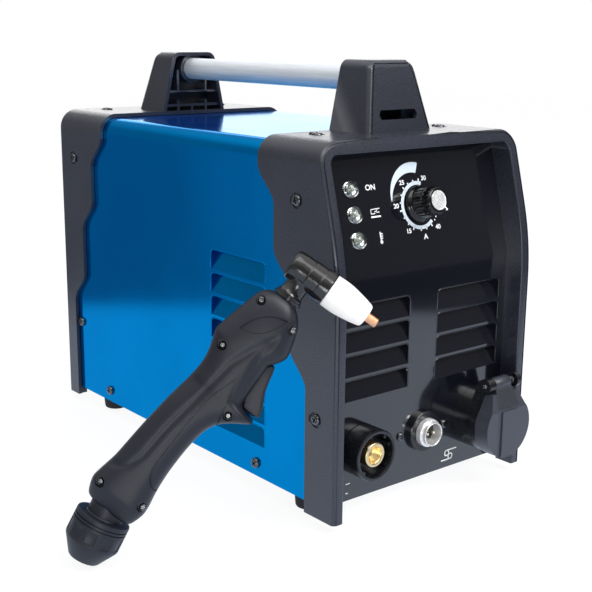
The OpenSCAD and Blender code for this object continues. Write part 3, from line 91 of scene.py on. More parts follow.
# %% [markdown]
# ## The camera
# A camera is a place, a direction and a lens. Its direction is easiest to read as a turn about the
# vertical, a tilt downwards and a small roll, so those three build the camera's own axes.

# %% The camera
FRAME_PIXELS = 592
CAMERA_PLACE = Vector((-493.93, -625.63, 298.10)) * MM
CAMERA_TURN = radians(39.362)
CAMERA_TILT = radians(13.585)
CAMERA_ROLL = radians(0.564)
FOCAL_PIXELS = 1101.017

ahead = Vector((sin(CAMERA_TURN) * cos(CAMERA_TILT), cos(CAMERA_TURN) * cos(CAMERA_TILT), -sin(CAMERA_TILT)))
level_right = Vector((cos(CAMERA_TURN), -sin(CAMERA_TURN), 0))
level_up = level_right.cross(ahead)
right = level_right * cos(CAMERA_ROLL) + level_up * sin(CAMERA_ROLL)
up = right.cross(ahead)
camera_data = bpy.data.cameras.new("camera")
camera_data.sensor_width = 36
camera_data.lens = FOCAL_PIXELS / FRAME_PIXELS * camera_data.sensor_width
camera_data.clip_start = 0.01
camera = bpy.data.objects.new("camera", camera_data)
bpy.context.scene.collection.objects.link(camera)
camera.matrix_world = Matrix.Translation(CAMERA_PLACE) @ Matrix((right, up, -ahead)).transposed().to_4x4()
bpy.context.scene.camera = camera
print("camera lens:", round(camera_data.lens, 2), "mm")

# %% [markdown]
# ## The studio
# A product stands on a pale sweep under soft lamps. The floor keeps a faint shadow, because it is partly
# plain matte white, and it looks white to the camera, because the rest of it glows a little for those rays.
# Glossy paint shows what stands around it, so reflections get surroundings of their own: a white sweep close
# to the machine, which ends in a dim room, and large area lamps for long soft highlights.

# %% Nodes
def new_material(name):
    """A node material: the material, its tree and its main shader."""
    material = bpy.data.materials.new(name)
    material.use_nodes = True
    return material, material.node_tree, material.node_tree.nodes["Principled BSDF"]


def feed(tree, node, inputs):
    """Gives the inputs of a node their values: constants as they are, outputs of other nodes by a link."""
    for key, value in inputs.items():
        if isinstance(value, bpy.types.NodeSocket):
            tree.links.new(value, node.inputs[key])
        else:
            node.inputs[key].default_value = value
    return node


def add_node(tree, kind, inputs=None, **settings):
    """A new node with its settings and its inputs."""
    node = tree.nodes.new("ShaderNode" + kind)
    for name, value in settings.items():
        setattr(node, name, value)
    return feed(tree, node, inputs or {})


def value_of(tree, operation, first, second):
    """A math node on two numbers, each of them a socket or a constant."""
    return add_node(tree, "Math", {0: first, 1: second}, operation=operation).outputs[0]


def ramp_of(tree, value, start, end, first, last, kind="SMOOTHSTEP"):
    """A number that changes from first to last while another goes from start to end."""
    return add_node(tree, "MapRange", {"Value": value, "From Min": start, "From Max": end, "To Min": first,
        "To Max": last}, interpolation_type=kind).outputs["Result"]


def distance_along(tree, place, direction):
    """How far a place lies along a direction."""
    return add_node(tree, "VectorMath", {0: place, 1: direction}, operation="DOT_PRODUCT").outputs["Value"]


def rays_and_place(tree, coordinates):
    """Whether the camera sees it, whether a reflection sees it, and the place that is seen."""
    path = add_node(tree, "LightPath").outputs
    return path["Is Camera Ray"], path["Is Glossy Ray"], add_node(tree, "TexCoord").outputs[coordinates]

# %% The floor
FLOOR_GLOW, FLOOR_WHITE, WHITE = 0.85, 1.06, (1, 1, 1, 1)
SWEEP_TOWARDS, SWEEP_START, SWEEP_END = (-0.634, 0.773, 0), -0.6, 0.494
WINDOW_TOWARDS, WINDOW_EDGE = (0.819, 0.574, 0), -0.09
ROOM, WINDOW, DARK_ROOM, WALLS, WALLS_BEHIND = 0.28, 0.46, 0.04, 0.11, 0.3
SWEEP_TINT = (0.8, 0.89, 1.06, 1)
deselect()
bpy.ops.mesh.primitive_plane_add(size=8, location=(0, 0, -0.0002))
floor = bpy.context.active_object
floor.name = "floor"
floor_white, tree, shader = new_material("floor_white")
feed(tree, shader, {"Base Color": (0.86, 0.865, 0.875, 1), "Roughness": 0.9, "Specular IOR Level": 0.1})
seen, mirrored, place = rays_and_place(tree, "Object")
across, away = (distance_along(tree, place, towards) for towards in (WINDOW_TOWARDS, SWEEP_TOWARDS))
room = ramp_of(tree, across, WINDOW_EDGE - 0.1, WINDOW_EDGE + 0.1, WINDOW, ROOM)
sweep = ramp_of(tree, away, SWEEP_END - 0.04, SWEEP_END + 0.04, 1, room)
sweep = ramp_of(tree, away, SWEEP_START - 0.03, SWEEP_START + 0.03, DARK_ROOM, sweep)
strength = add_node(tree, "Mix", {"Factor": mirrored, "A": FLOOR_WHITE, "B": sweep}).outputs["Result"]
colour = add_node(tree, "Mix", {0: mirrored, 6: WHITE, 7: SWEEP_TINT}, data_type="RGBA").outputs[2]
glow = add_node(tree, "Emission", {"Strength": strength, "Color": colour}).outputs[0]
share = value_of(tree, "MAXIMUM", value_of(tree, "MULTIPLY", seen, FLOOR_GLOW), mirrored)
blend = add_node(tree, "MixShader", {"Fac": share, 1: shader.outputs[0], 2: glow})
feed(tree, tree.nodes["Material Output"], {"Surface": blend.outputs[0]})
floor.data.materials.append(floor_white)

# %% The lamps and the world
bpy.context.scene.view_settings.view_transform = "Standard"
WORLD_FILL, CEILING = 0.7, 1.1
world = bpy.data.worlds.new("studio")
bpy.context.scene.world = world
world.use_nodes = True
tree = world.node_tree
seen, mirrored, place = rays_and_place(tree, "Generated")
height, behind = (distance_along(tree, place, towards) for towards in ((0, 0, 1), SWEEP_TOWARDS))
walls = ramp_of(tree, behind, -0.2, 0.25, WALLS - WORLD_FILL, WALLS_BEHIND - WORLD_FILL)
surround = ramp_of(tree, height, 0.3, 0.85, walls, CEILING - WORLD_FILL)
total = value_of(tree, "ADD", value_of(tree, "MULTIPLY", seen, 1 - WORLD_FILL), value_of(tree, "MULTIPLY", mirrored,
    surround))
feed(tree, tree.nodes["Background"], {"Color": WHITE, "Strength": value_of(tree, "ADD", total, WORLD_FILL)})


def area_lamp(name, place, aim, size, watts):
    """A soft lamp at a place in metres, turned to a point on the machine."""
    data = bpy.data.lights.new(name, "AREA")
    data.shape, data.energy = "RECTANGLE", watts
    data.size, data.size_y = size
    lamp = bpy.data.objects.new(name, data)
    bpy.context.scene.collection.objects.link(lamp)
    towards = Vector(aim) - Vector(place)
    lamp.matrix_world = Matrix.Translation(place) @ towards.to_track_quat("-Z", "Y").to_matrix().to_4x4()


area_lamp("key_lamp", (-0.35, -0.6, 1.5), (0, 0, 0.12), (1.2, 0.8), 7)
area_lamp("side_lamp", (-0.85, -0.95, 0.12), (-0.05, 0, 0.08), (0.4, 0.25), 2.5)
area_lamp("front_lamp", (0.35, -1.2, 1.1), (0, -0.1, 0.12), (0.8, 0.5), 14)
area_lamp("back_lamp", (0.85, 1.15, 0.6), (0, 0.05, 0.2), (1.5, 0.65), 6)

# %% [markdown]
# ## Finishes
# One small function per kind of material. Every pattern is laid on the Object coordinates, so it stays on
# the piece when the piece moves, and its scale is a real size. Roughness and bump vary a little, as on any
# real surface: moulded plastic has a fine grain, sheet metal paint a faint orange peel, turned metal rings.

# %% Helpers for patterns
def noise(tree, cycles_per_mm, detail=2.0, stretch=(1, 1, 1)):
    """A noise pattern of the piece's own coordinates, with so many cycles to a millimetre."""
    place = add_node(tree, "TexCoord").outputs["Object"]
    mapped = add_node(tree, "Mapping", {"Scale": stretch, "Vector": place}).outputs["Vector"]
    return add_node(tree, "TexNoise", {"Scale": cycles_per_mm / MM, "Detail": detail,
        "Vector": mapped}).outputs["Fac"]


def shades(tree, factor, colour, low=1.0, high=1.0):
    """A colour that runs along a pattern from a darker share of it to a lighter one."""
    ramp = add_node(tree, "ValToRGB", {"Fac": factor})
    for element, position, share in zip(ramp.color_ramp.elements, (0.35, 0.65), (low, high)):
        element.position = position
        element.color = (*(min(1, c * share) for c in colour), 1)
    return ramp.outputs["Color"]


def spread(tree, factor, low, high):
    """A number that runs from low to high along a pattern."""
    return ramp_of(tree, factor, 0.3, 0.7, low, high, "LINEAR")


def bump(tree, factor, depth_mm):
    """A surface raised along a pattern, by a real depth."""
    return add_node(tree, "Bump", {"Distance": depth_mm * MM, "Strength": 1, "Height": factor}).outputs["Normal"]

# %% The kinds of finish
def moulded_plastic(name, colour, roughness=0.5, grain=1.6, depth=0.02, variation=0.1, sheen=0.45):
    """Plastic from a textured mould: a fine grain in bump and roughness over an even colour."""
    material, tree, shader = new_material(name)
    fine, wide = noise(tree, grain, 3), noise(tree, 0.02, 2)
    feed(tree, shader, {"Base Color": shades(tree, wide, colour, 1 - variation, 1 + variation),
        "Roughness": spread(tree, fine, roughness - 0.06, roughness + 0.08), "Normal": bump(tree, fine, depth),
        "Specular IOR Level": sheen})
    return material


def gloss_paint(name, colour, roughness, coat, sheen=0.5, depth=0.004, metallic=0, edge=(1, 1, 1), under=None):
    """Stoved paint on sheet metal: an even colour with a faint orange peel, plain under a clear coat, or
    metallic with a coloured edge and a share of matte pigment under it."""
    material, tree, shader = new_material(name)
    wide, skin = noise(tree, 0.015, 2), noise(tree, 0.25, 2)
    relief = bump(tree, skin, depth)
    feed(tree, shader, {"Base Color": shades(tree, wide, colour, 0.95, 1.05), "Roughness": spread(tree, wide,
        roughness - 0.02, roughness + 0.02), "Metallic": metallic, "Specular IOR Level": sheen, "Coat Weight": coat,
        "Coat Roughness": 0.03, "Specular Tint": (*edge, 1), "Normal": relief, "Coat Normal": relief})
    if under:
        pigment = add_node(tree, "BsdfDiffuse", {"Color": (*under, 1)})
        both = add_node(tree, "MixShader", {"Fac": 0.12, 1: shader.outputs[0], 2: pigment.outputs[0]})
        feed(tree, tree.nodes["Material Output"], {"Surface": both.outputs[0]})
    return material


def metal(name, colour, roughness=0.3, lines=1.5, stretch=(1, 1, 1), depth=0.004, variation=0.12, metallic=1):
    """Bare metal with tool marks: a noise drawn out along the marks drives colour, roughness and bump."""
    material, tree, shader = new_material(name)
    marks = noise(tree, lines, 3, stretch)
    feed(tree, shader, {"Base Color": shades(tree, marks, colour, 1 - variation), "Roughness": spread(tree, marks,
        roughness - 0.07, roughness + 0.07), "Metallic": metallic, "Normal": bump(tree, marks, depth)})
    return material


def clear_plastic(name, colour, roughness=0.05):
    """Clear moulded plastic, which bends light and has a faint flow pattern on its skin."""
    material, tree, shader = new_material(name)
    flow = noise(tree, 0.3, 2)
    feed(tree, shader, {"Base Color": shades(tree, flow, colour, 0.96), "IOR": 1.45, "Roughness": spread(tree, flow,
        roughness, roughness + 0.05), "Transmission Weight": 1})
    return material


def rubber(name, colour, roughness=0.7):
    """Soft dull rubber with a dusty cast."""
    return moulded_plastic(name, colour, roughness, grain=0.9, depth=0.03, variation=0.18, sheen=0.3)

# %% [markdown]
# Each slot of the record gets its finish here. The names are the record's, so a new piece can take the
# finish of the node that it stands for.

# %% The finishes of this machine
ALONG_Y = (1, 0.02, 1)
finishes = {}


def add(kind, name, colour, *look, **more):
    """One more finish of a kind."""
    finishes[name] = kind(name, colour, *look, **more)


add(gloss_paint, "blue_paint", (0, 0.25, 0.54), 0.13, 0, metallic=1, edge=(0.54, 0.74, 0.96), under=(0, 0.09, 0.6))
add(moulded_plastic, "frame_plastic", (0.019, 0.0215, 0.034), 0.27, grain=2.2, depth=0.04, sheen=0.7)
add(gloss_paint, "panel_black", (0.004, 0.0045, 0.008), 0.12, 0.7, 0.6, 0.002)
add(metal, "galvanised_steel", (0.55, 0.56, 0.58), 0.38, 0.15)
add(metal, "tube_aluminium", (0.88, 0.92, 0.97), 0.48, 1.2, ALONG_Y, metallic=0.6)
add(rubber, "foot_rubber", (0.02, 0.02, 0.022))
add(metal, "black_screw", (0.14, 0.142, 0.15), 0.25, 0.8)
add(metal, "bright_steel", (0.6, 0.61, 0.63), 0.25, 0.9)
add(moulded_plastic, "knob_plastic", (0.003, 0.003, 0.0035), 0.12, depth=0.001, sheen=0.5)
add(metal, "spun_aluminium", (0.95, 0.95, 0.96), 0.28, 0.3, depth=0.0005, variation=0.03, metallic=0.6)
add(clear_plastic, "clear_lens", (0.9, 0.93, 0.88))
add(moulded_plastic, "black_plastic", (0.006, 0.0065, 0.009), 0.22, depth=0.003, sheen=0.55)
add(metal, "brass_turned", (0.93, 0.74, 0.42), 0.3, 2)
add(metal, "chrome_shell", (0.9, 0.9, 0.9), 0.22, depth=0.001, variation=0.05, metallic=0.6)
add(metal, "gold_pins", (0.9, 0.82, 0.6), 0.18, 2, depth=0.001)
add(moulded_plastic, "lid_plastic", (0.031, 0.034, 0.048), 0.4, 1.2, 0.015, sheen=0.6)
add(metal, "spring_steel", (0.12, 0.12, 0.13))
add(moulded_plastic, "red_plastic", (0.5, 0.02, 0.015), 0.2, depth=0.004, sheen=0.6)
add(metal, "cast_alloy", (0.6, 0.61, 0.63), 0.42, 0.8, depth=0.02)
add(clear_plastic, "clear_bowl", (0.85, 0.92, 0.97), 0.04)
add(moulded_plastic, "board_green", (0.01, 0.13, 0.05), 0.35, 0.4, 0.01)
add(metal, "sink_aluminium", (0.62, 0.63, 0.65), 0.4, 1, ALONG_Y)
add(moulded_plastic, "ferrite", (0.025, 0.024, 0.024), 0.6, 1, 0.03)
add(metal, "copper_wire", (0.55, 0.2, 0.08), 0.3, 0.8)
add(moulded_plastic, "can_blue", (0.01, 0.03, 0.15), 0.3, depth=0.004)
add(rubber, "hose_blue", (0.02, 0.06, 0.25), 0.5)
add(moulded_plastic, "handle_plastic", (0.007, 0.0085, 0.0155), 0.44, 2, 0.03)
add(moulded_plastic, "head_plastic", (0.007, 0.007, 0.008), 0.16, depth=0.004, sheen=0.7)
add(moulded_plastic, "white_ceramic", (0.82, 0.82, 0.815), depth=0.006, variation=0.02)
add(metal, "copper", (0.9, 0.47, 0.27), 0.3, 2.2)
for name, node in nodes_of_frame.items():
    node.data.materials.clear()
    node.data.materials.append(finishes[slot_of_node[name]])
deselect()
print("finishes:", len(finishes))

# %% [markdown]
# ## Tools for modelling
# Every operator works on what is selected, so each step starts by selecting one piece alone. In edit mode
# the faces and edges to work on are picked in code by a rule about their place or direction. Modifiers
# are applied at once, so that a finished piece is a plain mesh, and its place is in that mesh.

# %% Selecting, picking and applying
KINDS = ("VERT", "EDGE", "FACE")


def only(piece):
    """Selects one piece and nothing else."""
    deselect()
    piece.select_set(True)
    bpy.context.view_layer.objects.active = piece


def edit(piece, kind="VERT"):
    """Enters edit mode on one piece, selecting by vertex, edge or face."""
    only(piece)
    bpy.ops.object.mode_set(mode="EDIT")
    bpy.context.tool_settings.mesh_select_mode = tuple(kind == k for k in KINDS)


def everything():
    """In edit mode, selects all there is."""
    bpy.ops.mesh.select_all(action="SELECT")


def leave():
    """Back to object mode."""
    bpy.ops.object.mode_set(mode="OBJECT")


def pick(piece, kind, rule):
    """In edit mode, selects what a rule accepts and nothing else, and says how many that is."""
    bpy.context.tool_settings.mesh_select_mode = tuple(kind == k for k in KINDS)
    bpy.ops.mesh.select_all(action="DESELECT")
    mesh = bmesh.from_edit_mesh(piece.data)
    mesh.select_mode = {kind}
    items = {"VERT": mesh.verts, "EDGE": mesh.edges, "FACE": mesh.faces}[kind]
    chosen = [item for item in items if rule(item)]
    for item in chosen:
        item.select_set(True)
    mesh.select_flush_mode()
    bmesh.update_edit_mesh(piece.data)
    return len(chosen)


def modify(piece, kind, **settings):
    """Adds one modifier with its settings and applies it."""
    only(piece)
    modifier = piece.modifiers.new(kind.lower(), kind)
    for name, value in settings.items():
        setattr(modifier, name, value)
    bpy.ops.object.modifier_apply(modifier=modifier.name)
    return piece


def bevelled(piece, width_mm, segments, angle=30):
    """Rounds the edges that turn more than an angle."""
    return modify(piece, "BEVEL", width=width_mm * MM, segments=segments, limit_method="ANGLE",
        angle_limit=radians(angle), harden_normals=False, use_clamp_overlap=True)


def smooth(piece, angle=32):
    """Smooth shading, with edges that turn more than an angle kept sharp."""
    only(piece)
    bpy.ops.object.shade_smooth_by_angle(angle=radians(angle))
    return piece


def even_shading(piece, angle=40):
    """Smooth shading in which large flat faces stay flat and only the narrow faces of a rounding bend."""
    smooth(piece, angle)
    return modify(piece, "WEIGHTED_NORMAL", mode="FACE_AREA", weight=100, keep_sharp=True)


def outwards(piece):
    """Merges doubles and turns every face outwards."""
    edit(piece)
    everything()
    bpy.ops.mesh.remove_doubles(threshold=0.01 * MM)
    bpy.ops.mesh.normals_make_consistent(inside=False)
    leave()
    return piece


def into_place(piece, placing):
    """Puts a piece that was modelled on its own axes in its place, and keeps the place in the mesh."""
    only(piece)
    piece.matrix_world = placing @ piece.matrix_world
    bpy.ops.object.transform_apply(location=True, rotation=True, scale=True)
    return piece


def joined(pieces, name):
    """Several meshes as one piece."""
    deselect()
    for piece in pieces:
        piece.select_set(True)
    bpy.context.view_layer.objects.active = pieces[0]
    if len(pieces) > 1:
        bpy.ops.object.join()
    pieces[0].name = name
    return pieces[0]


def twin(piece):
    """A copy of a piece with a mesh of its own."""
    other = piece.copy()
    other.data = piece.data.copy()
    bpy.context.scene.collection.objects.link(other)
    return other


def cut(piece, cutter, operation="DIFFERENCE"):
    """Cuts one mesh with another, or joins them, and removes the cutter."""
    modify(piece, "BOOLEAN", object=cutter, operation=operation, solver="EXACT")
    bpy.data.objects.remove(cutter)
    return piece


def detail(piece, name, material, body):
    """A finished piece that stands for no node, in a finish of its own."""
    piece.name = piece.data.name = name
    piece.data.materials.clear()
    piece.data.materials.append(material)
    for face in piece.data.polygons:
        face.material_index = 0
    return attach(piece, body)


def finish(piece, name, finish_name, body, stands_for=()):
    """Names a finished piece, gives it its finish and lets it ride on its body."""
    detail(piece, name, finishes[finish_name], body)
    if stands_for:
        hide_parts(*stands_for)
    return piece


def stand_in(piece, node):
    """A finished piece that takes a node's place, with that node's finish and body."""
    return finish(piece, node + "_dressed", slot_of_node[node], body_of_node[node], (node,))


def dressed(piece, place, angle, node):
    """A piece that was modelled on its own axes takes a node's place."""
    return stand_in(smooth(into_place(piece, place), angle), node)

# %% [markdown]
# Many pieces have the right shape in the frame and only lack the rounded edges that catch the light.
# For these a copy of the frame's mesh is merged and cleaned, its sharp edges are rounded with a Bevel
# modifier, and the copy stands for the node.

# %% Rounding the edges of a frame node
def copy_of(node):
    """A merged copy of a node's mesh, with its flat areas joined into single faces."""
    piece = twin(nodes_of_frame[node])
    piece.parent = None
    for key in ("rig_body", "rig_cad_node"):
        del piece[key]
    edit(piece)
    everything()
    bpy.ops.mesh.remove_doubles(threshold=0.004 * MM)
    bpy.ops.mesh.dissolve_limited(angle_limit=radians(0.6))
    leave()
    return piece


def softened(node, width_mm, segments=2, angle=35, extra=()):
    """The node's own shape with its sharp edges rounded, joined with what is modelled on to it."""
    piece = copy_of(node)
    bevelled(piece, width_mm, segments, angle)
    even_shading(piece, 50)
    joined([piece, *extra], node + "_dressed")
    return stand_in(piece, node)

# %% [markdown]
# ## The torch
# The torch is modelled lying in its own plane: x runs up the handle, y across it and z out of the half
# that shows. A chain of turns then leans it against the front frame, as the frame's own torch stands.

# %% Where the torch stands
HALF_WIDTH, FRONT_Y, REST_HEIGHT, CUP_RADIUS, TORCH_GAP = 86, -166, 152, 9.8, 0.3
TORCH_TURN, TORCH_LEAN, TORCH_ANGLE, FRONT_SLOPE = (radians(a) for a in (-40, 12, 52, 15))
TORCH_ALONG, TORCH_RISE, BEND_START, BEND_LENGTH = -136, 16.3, 138, 25
bend_in = (REST_HEIGHT - BEND_START) ** 2 / 4 / BEND_LENGTH * tan(FRONT_SLOPE)
lean_back = (CUP_RADIUS + TORCH_GAP) / cos(TORCH_LEAN) + REST_HEIGHT * tan(TORCH_LEAN)
torch_place = (at(-HALF_WIDTH, FRONT_Y + bend_in) @ spin(TORCH_TURN) @ at(0, -lean_back) @ spin(-TORCH_LEAN,
    "X") @ at(TORCH_ALONG, 0, TORCH_RISE) @ spin(-TORCH_ANGLE, "Y") @ spin(QUARTER, "X"))

# %% [markdown]
# The handle is a loft. A ring of vertices is extruded along the handle, and at every station it is
# stretched to the width and thickness there. Lists of a few points give the top line, the bottom line and
# the thickness, and a Subdivision Surface modifier then makes the skin smooth.

# %% The lines of the handle
TOP_LINE = [(18, 18.5), (20, 20.3), (27, 23.6), (34, 22.6), (44, 20.8), (70, 19.6), (90, 17.9), (104, 16),
    (115, 15.1), (123, 16), (131, 18.9), (137, 21.3), (146, 19.9), (158, 17.4), (168, 15.2), (172, 12), (174, 8)]
BOTTOM_LINE = [(18, -9.5), (20, -11.2), (27, -13.3), (33, -12.9), (41, -10.8), (55, -9.2), (72, -8.8), (84, -9.8),
    (90, -11.3), (95, -14), (99, -18), (103, -23.4), (106.5, -28.8), (108, -29.2), (109.2, -26), (110.5, -20.5),
    (113, -17.8), (125, -17), (139, -16), (141.5, -18.4), (148, -21.6), (156, -19.4), (166, -15.4), (171, -11),
    (174, -6)]
THICKNESS = [(18, 9.6), (20, 10.8), (28, 14.3), (30, 14.9), (40, 14.4), (70, 13.8), (95, 14), (120, 15.2),
    (145, 15.5), (160, 15), (168, 13.6), (172, 11.6), (174, 9.5)]
STATIONS = [18, 20, 24, 28, 30, 34, 38, 44, 50, 56, 62, 68, 74, 80, 85, 90, 95, 99, 103, 106.5, 108, 109.2, 110.5,
    113, 117, 121, 125, 129, 132.5, 135, 137, 139, 141.5, 144.5, 148, 152, 157, 162, 166, 169, 171.5, 173, 174]
RING_POINTS = 28
SECTION_SQUARENESS = 3.0


def along(line, x):
    """The value of a line of points at a place between them."""
    for (x0, v0), (x1, v1) in zip(line, line[1:]):
        if x <= x1:
            return v0 + (v1 - v0) * (x - x0) / (x1 - x0)
    return line[-1][1]


def disc(sides, radius=1, height=0):
    """A flat filled ring of vertices."""
    deselect()
    bpy.ops.mesh.primitive_circle_add(vertices=sides, radius=radius * MM, fill_type="NGON",
        location=(0, 0, height * MM))
    bpy.ops.object.transform_apply(location=True)
    return bpy.context.active_object


def squared_circle(angle, squareness):
    """A point of a circle whose sides are pushed out towards a square."""
    c, s = cos(angle), sin(angle)
    return (copysign(abs(c) ** (2 / squareness), c), copysign(abs(s) ** (2 / squareness), s))

# %% The handle's skin
def handle_skin():
    """The closed outer form of the handle, before anything is cut into it."""
    piece = disc(RING_POINTS)
    for i, vertex in enumerate(piece.data.vertices):
        y, z = squared_circle(2 * pi * i / RING_POINTS, SECTION_SQUARENESS)
        vertex.co = Vector((STATIONS[0], y, z)) * MM
    last_middle, last_half, last_thick = 0, 1, 1
    edit(piece, "FACE")
    everything()
    for i, x in enumerate(STATIONS):
        top, bottom = along(TOP_LINE, x), along(BOTTOM_LINE, x)
        middle, half, thick = (top + bottom) / 2, (top - bottom) / 2, along(THICKNESS, x)
        if i:
            bpy.ops.mesh.extrude_region_move(TRANSFORM_OT_translate={"value": ((x - STATIONS[i - 1]) * MM, 0, 0)})
        bpy.ops.transform.resize(value=(1, half / last_half, thick / last_thick), center_override=(x * MM,
            last_middle * MM, 0))
        bpy.ops.transform.translate(value=(0, (middle - last_middle) * MM, 0))
        last_middle, last_half, last_thick = middle, half, thick
    everything()
    bpy.ops.mesh.normals_make_consistent(inside=False)
    leave()
    modify(piece, "SUBSURF", levels=2, render_levels=2)
    return piece

# %% [markdown]
# The sides of a grip are sculpted. Soft valleys are pressed into the skin first: every vertex moves inwards
# by an amount that fades with its distance from a line. Sharp grooves and the sunk oval are cut after that.
# Their cutter is an upright solid of the groove's outline with a slightly shrunken copy of the handle taken
# out of it, so its foot follows the curved skin and the groove is equally deep all along.

# %% Soft valleys
SOFT_LINES = [(1.5, 0.75, [(41, 22), (44, 15), (48, 10.8), (56, 8), (76, 7.2), (94, 5.2), (113, 3.2), (127, 1.8),
    (139, -2.4), (151, -7.2)]), (1.8, 0.8, [(154, -9), (142, -8.2), (130, -10.8), (120, -13), (113, -16.5)]),]


def distance_to_line(x, y, line):
    """How far a point lies from a line of points."""
    nearest = 1e9
    for (x0, y0), (x1, y1) in zip(line, line[1:]):
        dx, dy = x1 - x0, y1 - y0
        share = max(0, min(1, ((x - x0) * dx + (y - y0) * dy) / (dx * dx + dy * dy)))
        nearest = min(nearest, hypot(x - x0 - share * dx, y - y0 - share * dy))
    return nearest


def press_lines(piece, lines):
    """Moves the skin inwards along soft lines, on both sides alike."""
    normals = [v.normal.copy() for v in piece.data.vertices]
    for vertex, normal in zip(piece.data.vertices, normals):
        x, y = vertex.co.x / MM, vertex.co.y / MM
        for width, depth, line in lines:
            away = distance_to_line(x, y, line)
            if away < 3 * width:
                vertex.co -= normal * depth * MM * exp(-(away / width) ** 2) * abs(normal.z)

# %% Outlines and plates
def smooth_line(points, steps=6):
    """A smooth curve through a few points, as more points."""
    ends = [points[0], *points, points[-1]]
    made = []
    for a, b, c, d in zip(ends, ends[1:], ends[2:], ends[3:]):
        for i in range(steps):
            t = i / steps
            made.append(tuple(0.5 * (2 * b[k] + (c[k] - a[k]) * t + (2 * a[k] - 5 * b[k] + 4 * c[k] - d[k]) * t ** 2
                + (3 * b[k] - a[k] - 3 * c[k] + d[k]) * t ** 3) for k in (0, 1)))
    return made + [tuple(points[-1])]


def strip(points, width):
    """The outline of a strip of even width along a line."""
    left, right = [], []
    for i, (x, y) in enumerate(points):
        (x0, y0), (x1, y1) = points[max(0, i - 1)], points[min(len(points) - 1, i + 1)]
        length = hypot(x1 - x0, y1 - y0)
        nx, ny = -(y1 - y0) / length * width / 2, (x1 - x0) / length * width / 2
        left.append((x + nx, y + ny))
        right.append((x - nx, y - ny))
    return left + right[::-1]


def plate(outline, low, high):
    """A solid on an outline in millimetres, between two heights: a filled circle whose vertices are moved
    onto the outline, extruded upwards."""
    piece = disc(len(outline))
    for vertex, (x, y) in zip(piece.data.vertices, outline):
        vertex.co = Vector((x, y, low)) * MM
    edit(piece, "FACE")
    everything()
    bpy.ops.mesh.extrude_region_move(TRANSFORM_OT_translate={"value": (0, 0, (high - low) * MM)})
    everything()
    bpy.ops.mesh.normals_make_consistent(inside=False)
    leave()
    return piece


def block(x, y, width, height, low, high, turn=0):
    """A block about its own middle, turned about z."""
    outline = [(-width / 2, -height / 2), (width / 2, -height / 2), (width / 2, height / 2), (-width / 2, height / 2)]
    return into_place(plate(outline, low, high), at(x, y) @ spin(turn))


def rod(radius, low, high, x=0, y=0, sides=32):
    """A round bar along z, between two heights."""
    deselect()
    bpy.ops.mesh.primitive_cylinder_add(vertices=sides, radius=radius * MM, depth=(high - low) * MM,
        location=(x * MM, y * MM, (low + high) / 2 * MM))
    piece = bpy.context.active_object
    bpy.ops.object.transform_apply(location=True)
    return piece

# %% The handle
TRIGGER_SLOT = [(109.4, -40), (141.3, -40), (141.3, -9), (109.4, -9)]
SLOT_HALF = 6.6
HANDLE_SCREWS = [(165.5, 10.7), (132.5, 12), (163.1, -13.6), (103.4, -15.2), (29.8, 17.6), (33.2, -10)]
SCREW_SEAT, SCREW_HOLE_RADIUS = 9, 3
GRIP_LINE = [(43.2, -14), (45.4, -7.5), (47.5, -4.6), (50.5, -2.4), (55, -0.8), (64, -0.1), (85, 0.2), (105, -0.8),
    (114, -3), (123, -5.4)]
GRIP_RETURN = [(123.4, -5.2), (112, -9.4), (96, -13.2), (90, -14.5)]
OVAL_ENDS = [(145.9, 10.5), (165.5, -8.5)]
OVAL_PULLS = [(163.5, 6.5), (147.5, -4)]
GROOVE_WIDTH, GROOVE_DEPTH, OVAL_DEPTH = 0.9, 0.8, 0.9


def bent(a, pull, b, steps=14):
    """Points of a simple arch from a to b, drawn out towards a third point."""
    return [tuple(a[k] * (1 - t) ** 2 + 2 * pull[k] * t * (1 - t) + b[k] * t * t for k in (0, 1))
        for t in (i / steps for i in range(steps))]


def sunk_shape(skin, outline, depth):
    """A cutter for a groove or a recess of even depth below the skin of the side that shows."""
    core = twin(skin)
    edit(core)
    everything()
    bpy.ops.transform.shrink_fatten(value=-depth * MM)
    leave()
    return cut(plate(outline, 2, 30), core)


def whole_handle():
    """The handle in one: its skin with the valleys, the grooves, the oval, the trigger's slot and the holes."""
    skin = handle_skin()
    press_lines(skin, SOFT_LINES)
    oval = bent(OVAL_ENDS[0], OVAL_PULLS[0], OVAL_ENDS[1]) + bent(OVAL_ENDS[1], OVAL_PULLS[1], OVAL_ENDS[0])
    cutters = [sunk_shape(skin, strip(smooth_line(GRIP_LINE), GROOVE_WIDTH), GROOVE_DEPTH),
        sunk_shape(skin, strip(GRIP_RETURN, GROOVE_WIDTH), GROOVE_DEPTH), sunk_shape(skin, oval, OVAL_DEPTH),
        plate(TRIGGER_SLOT, -SLOT_HALF, SLOT_HALF)]
    cutters += [rod(SCREW_HOLE_RADIUS, SCREW_SEAT, 30, x, y) for x, y in HANDLE_SCREWS]
    for cutter in cutters:
        cut(skin, cutter)
    return skin


def half_of(whole, name, side, node):
    """One half of the handle: the other half is bisected away and the cut is filled."""
    half = twin(whole)
    edit(half)
    everything()
    bpy.ops.mesh.bisect(plane_co=(0, 0, side * 0.05 * MM), plane_no=(0, 0, side), use_fill=True, clear_inner=True)
    leave()
    smooth(half, 35)
    into_place(half, torch_place)
    return finish(half, name, "handle_plastic", "torch", (node,))


handle = whole_handle()
left_half = half_of(handle, "torch_handle_left_half", 1, "torch_handle_left")
right_half = half_of(handle, "torch_handle_right_half", -1, "torch_handle_right")
bpy.data.objects.remove(handle)
print("handle halves:", len(left_half.data.polygons), len(right_half.data.polygons), "faces")

# %% [markdown]
# Round parts are turned: a ring of vertices is extruded along the axis and resized at every step of a
# profile. Where the profile starts or ends on the axis, the last ring is merged into one point.

# %% Turned pieces
NEARLY_ZERO = 0.05


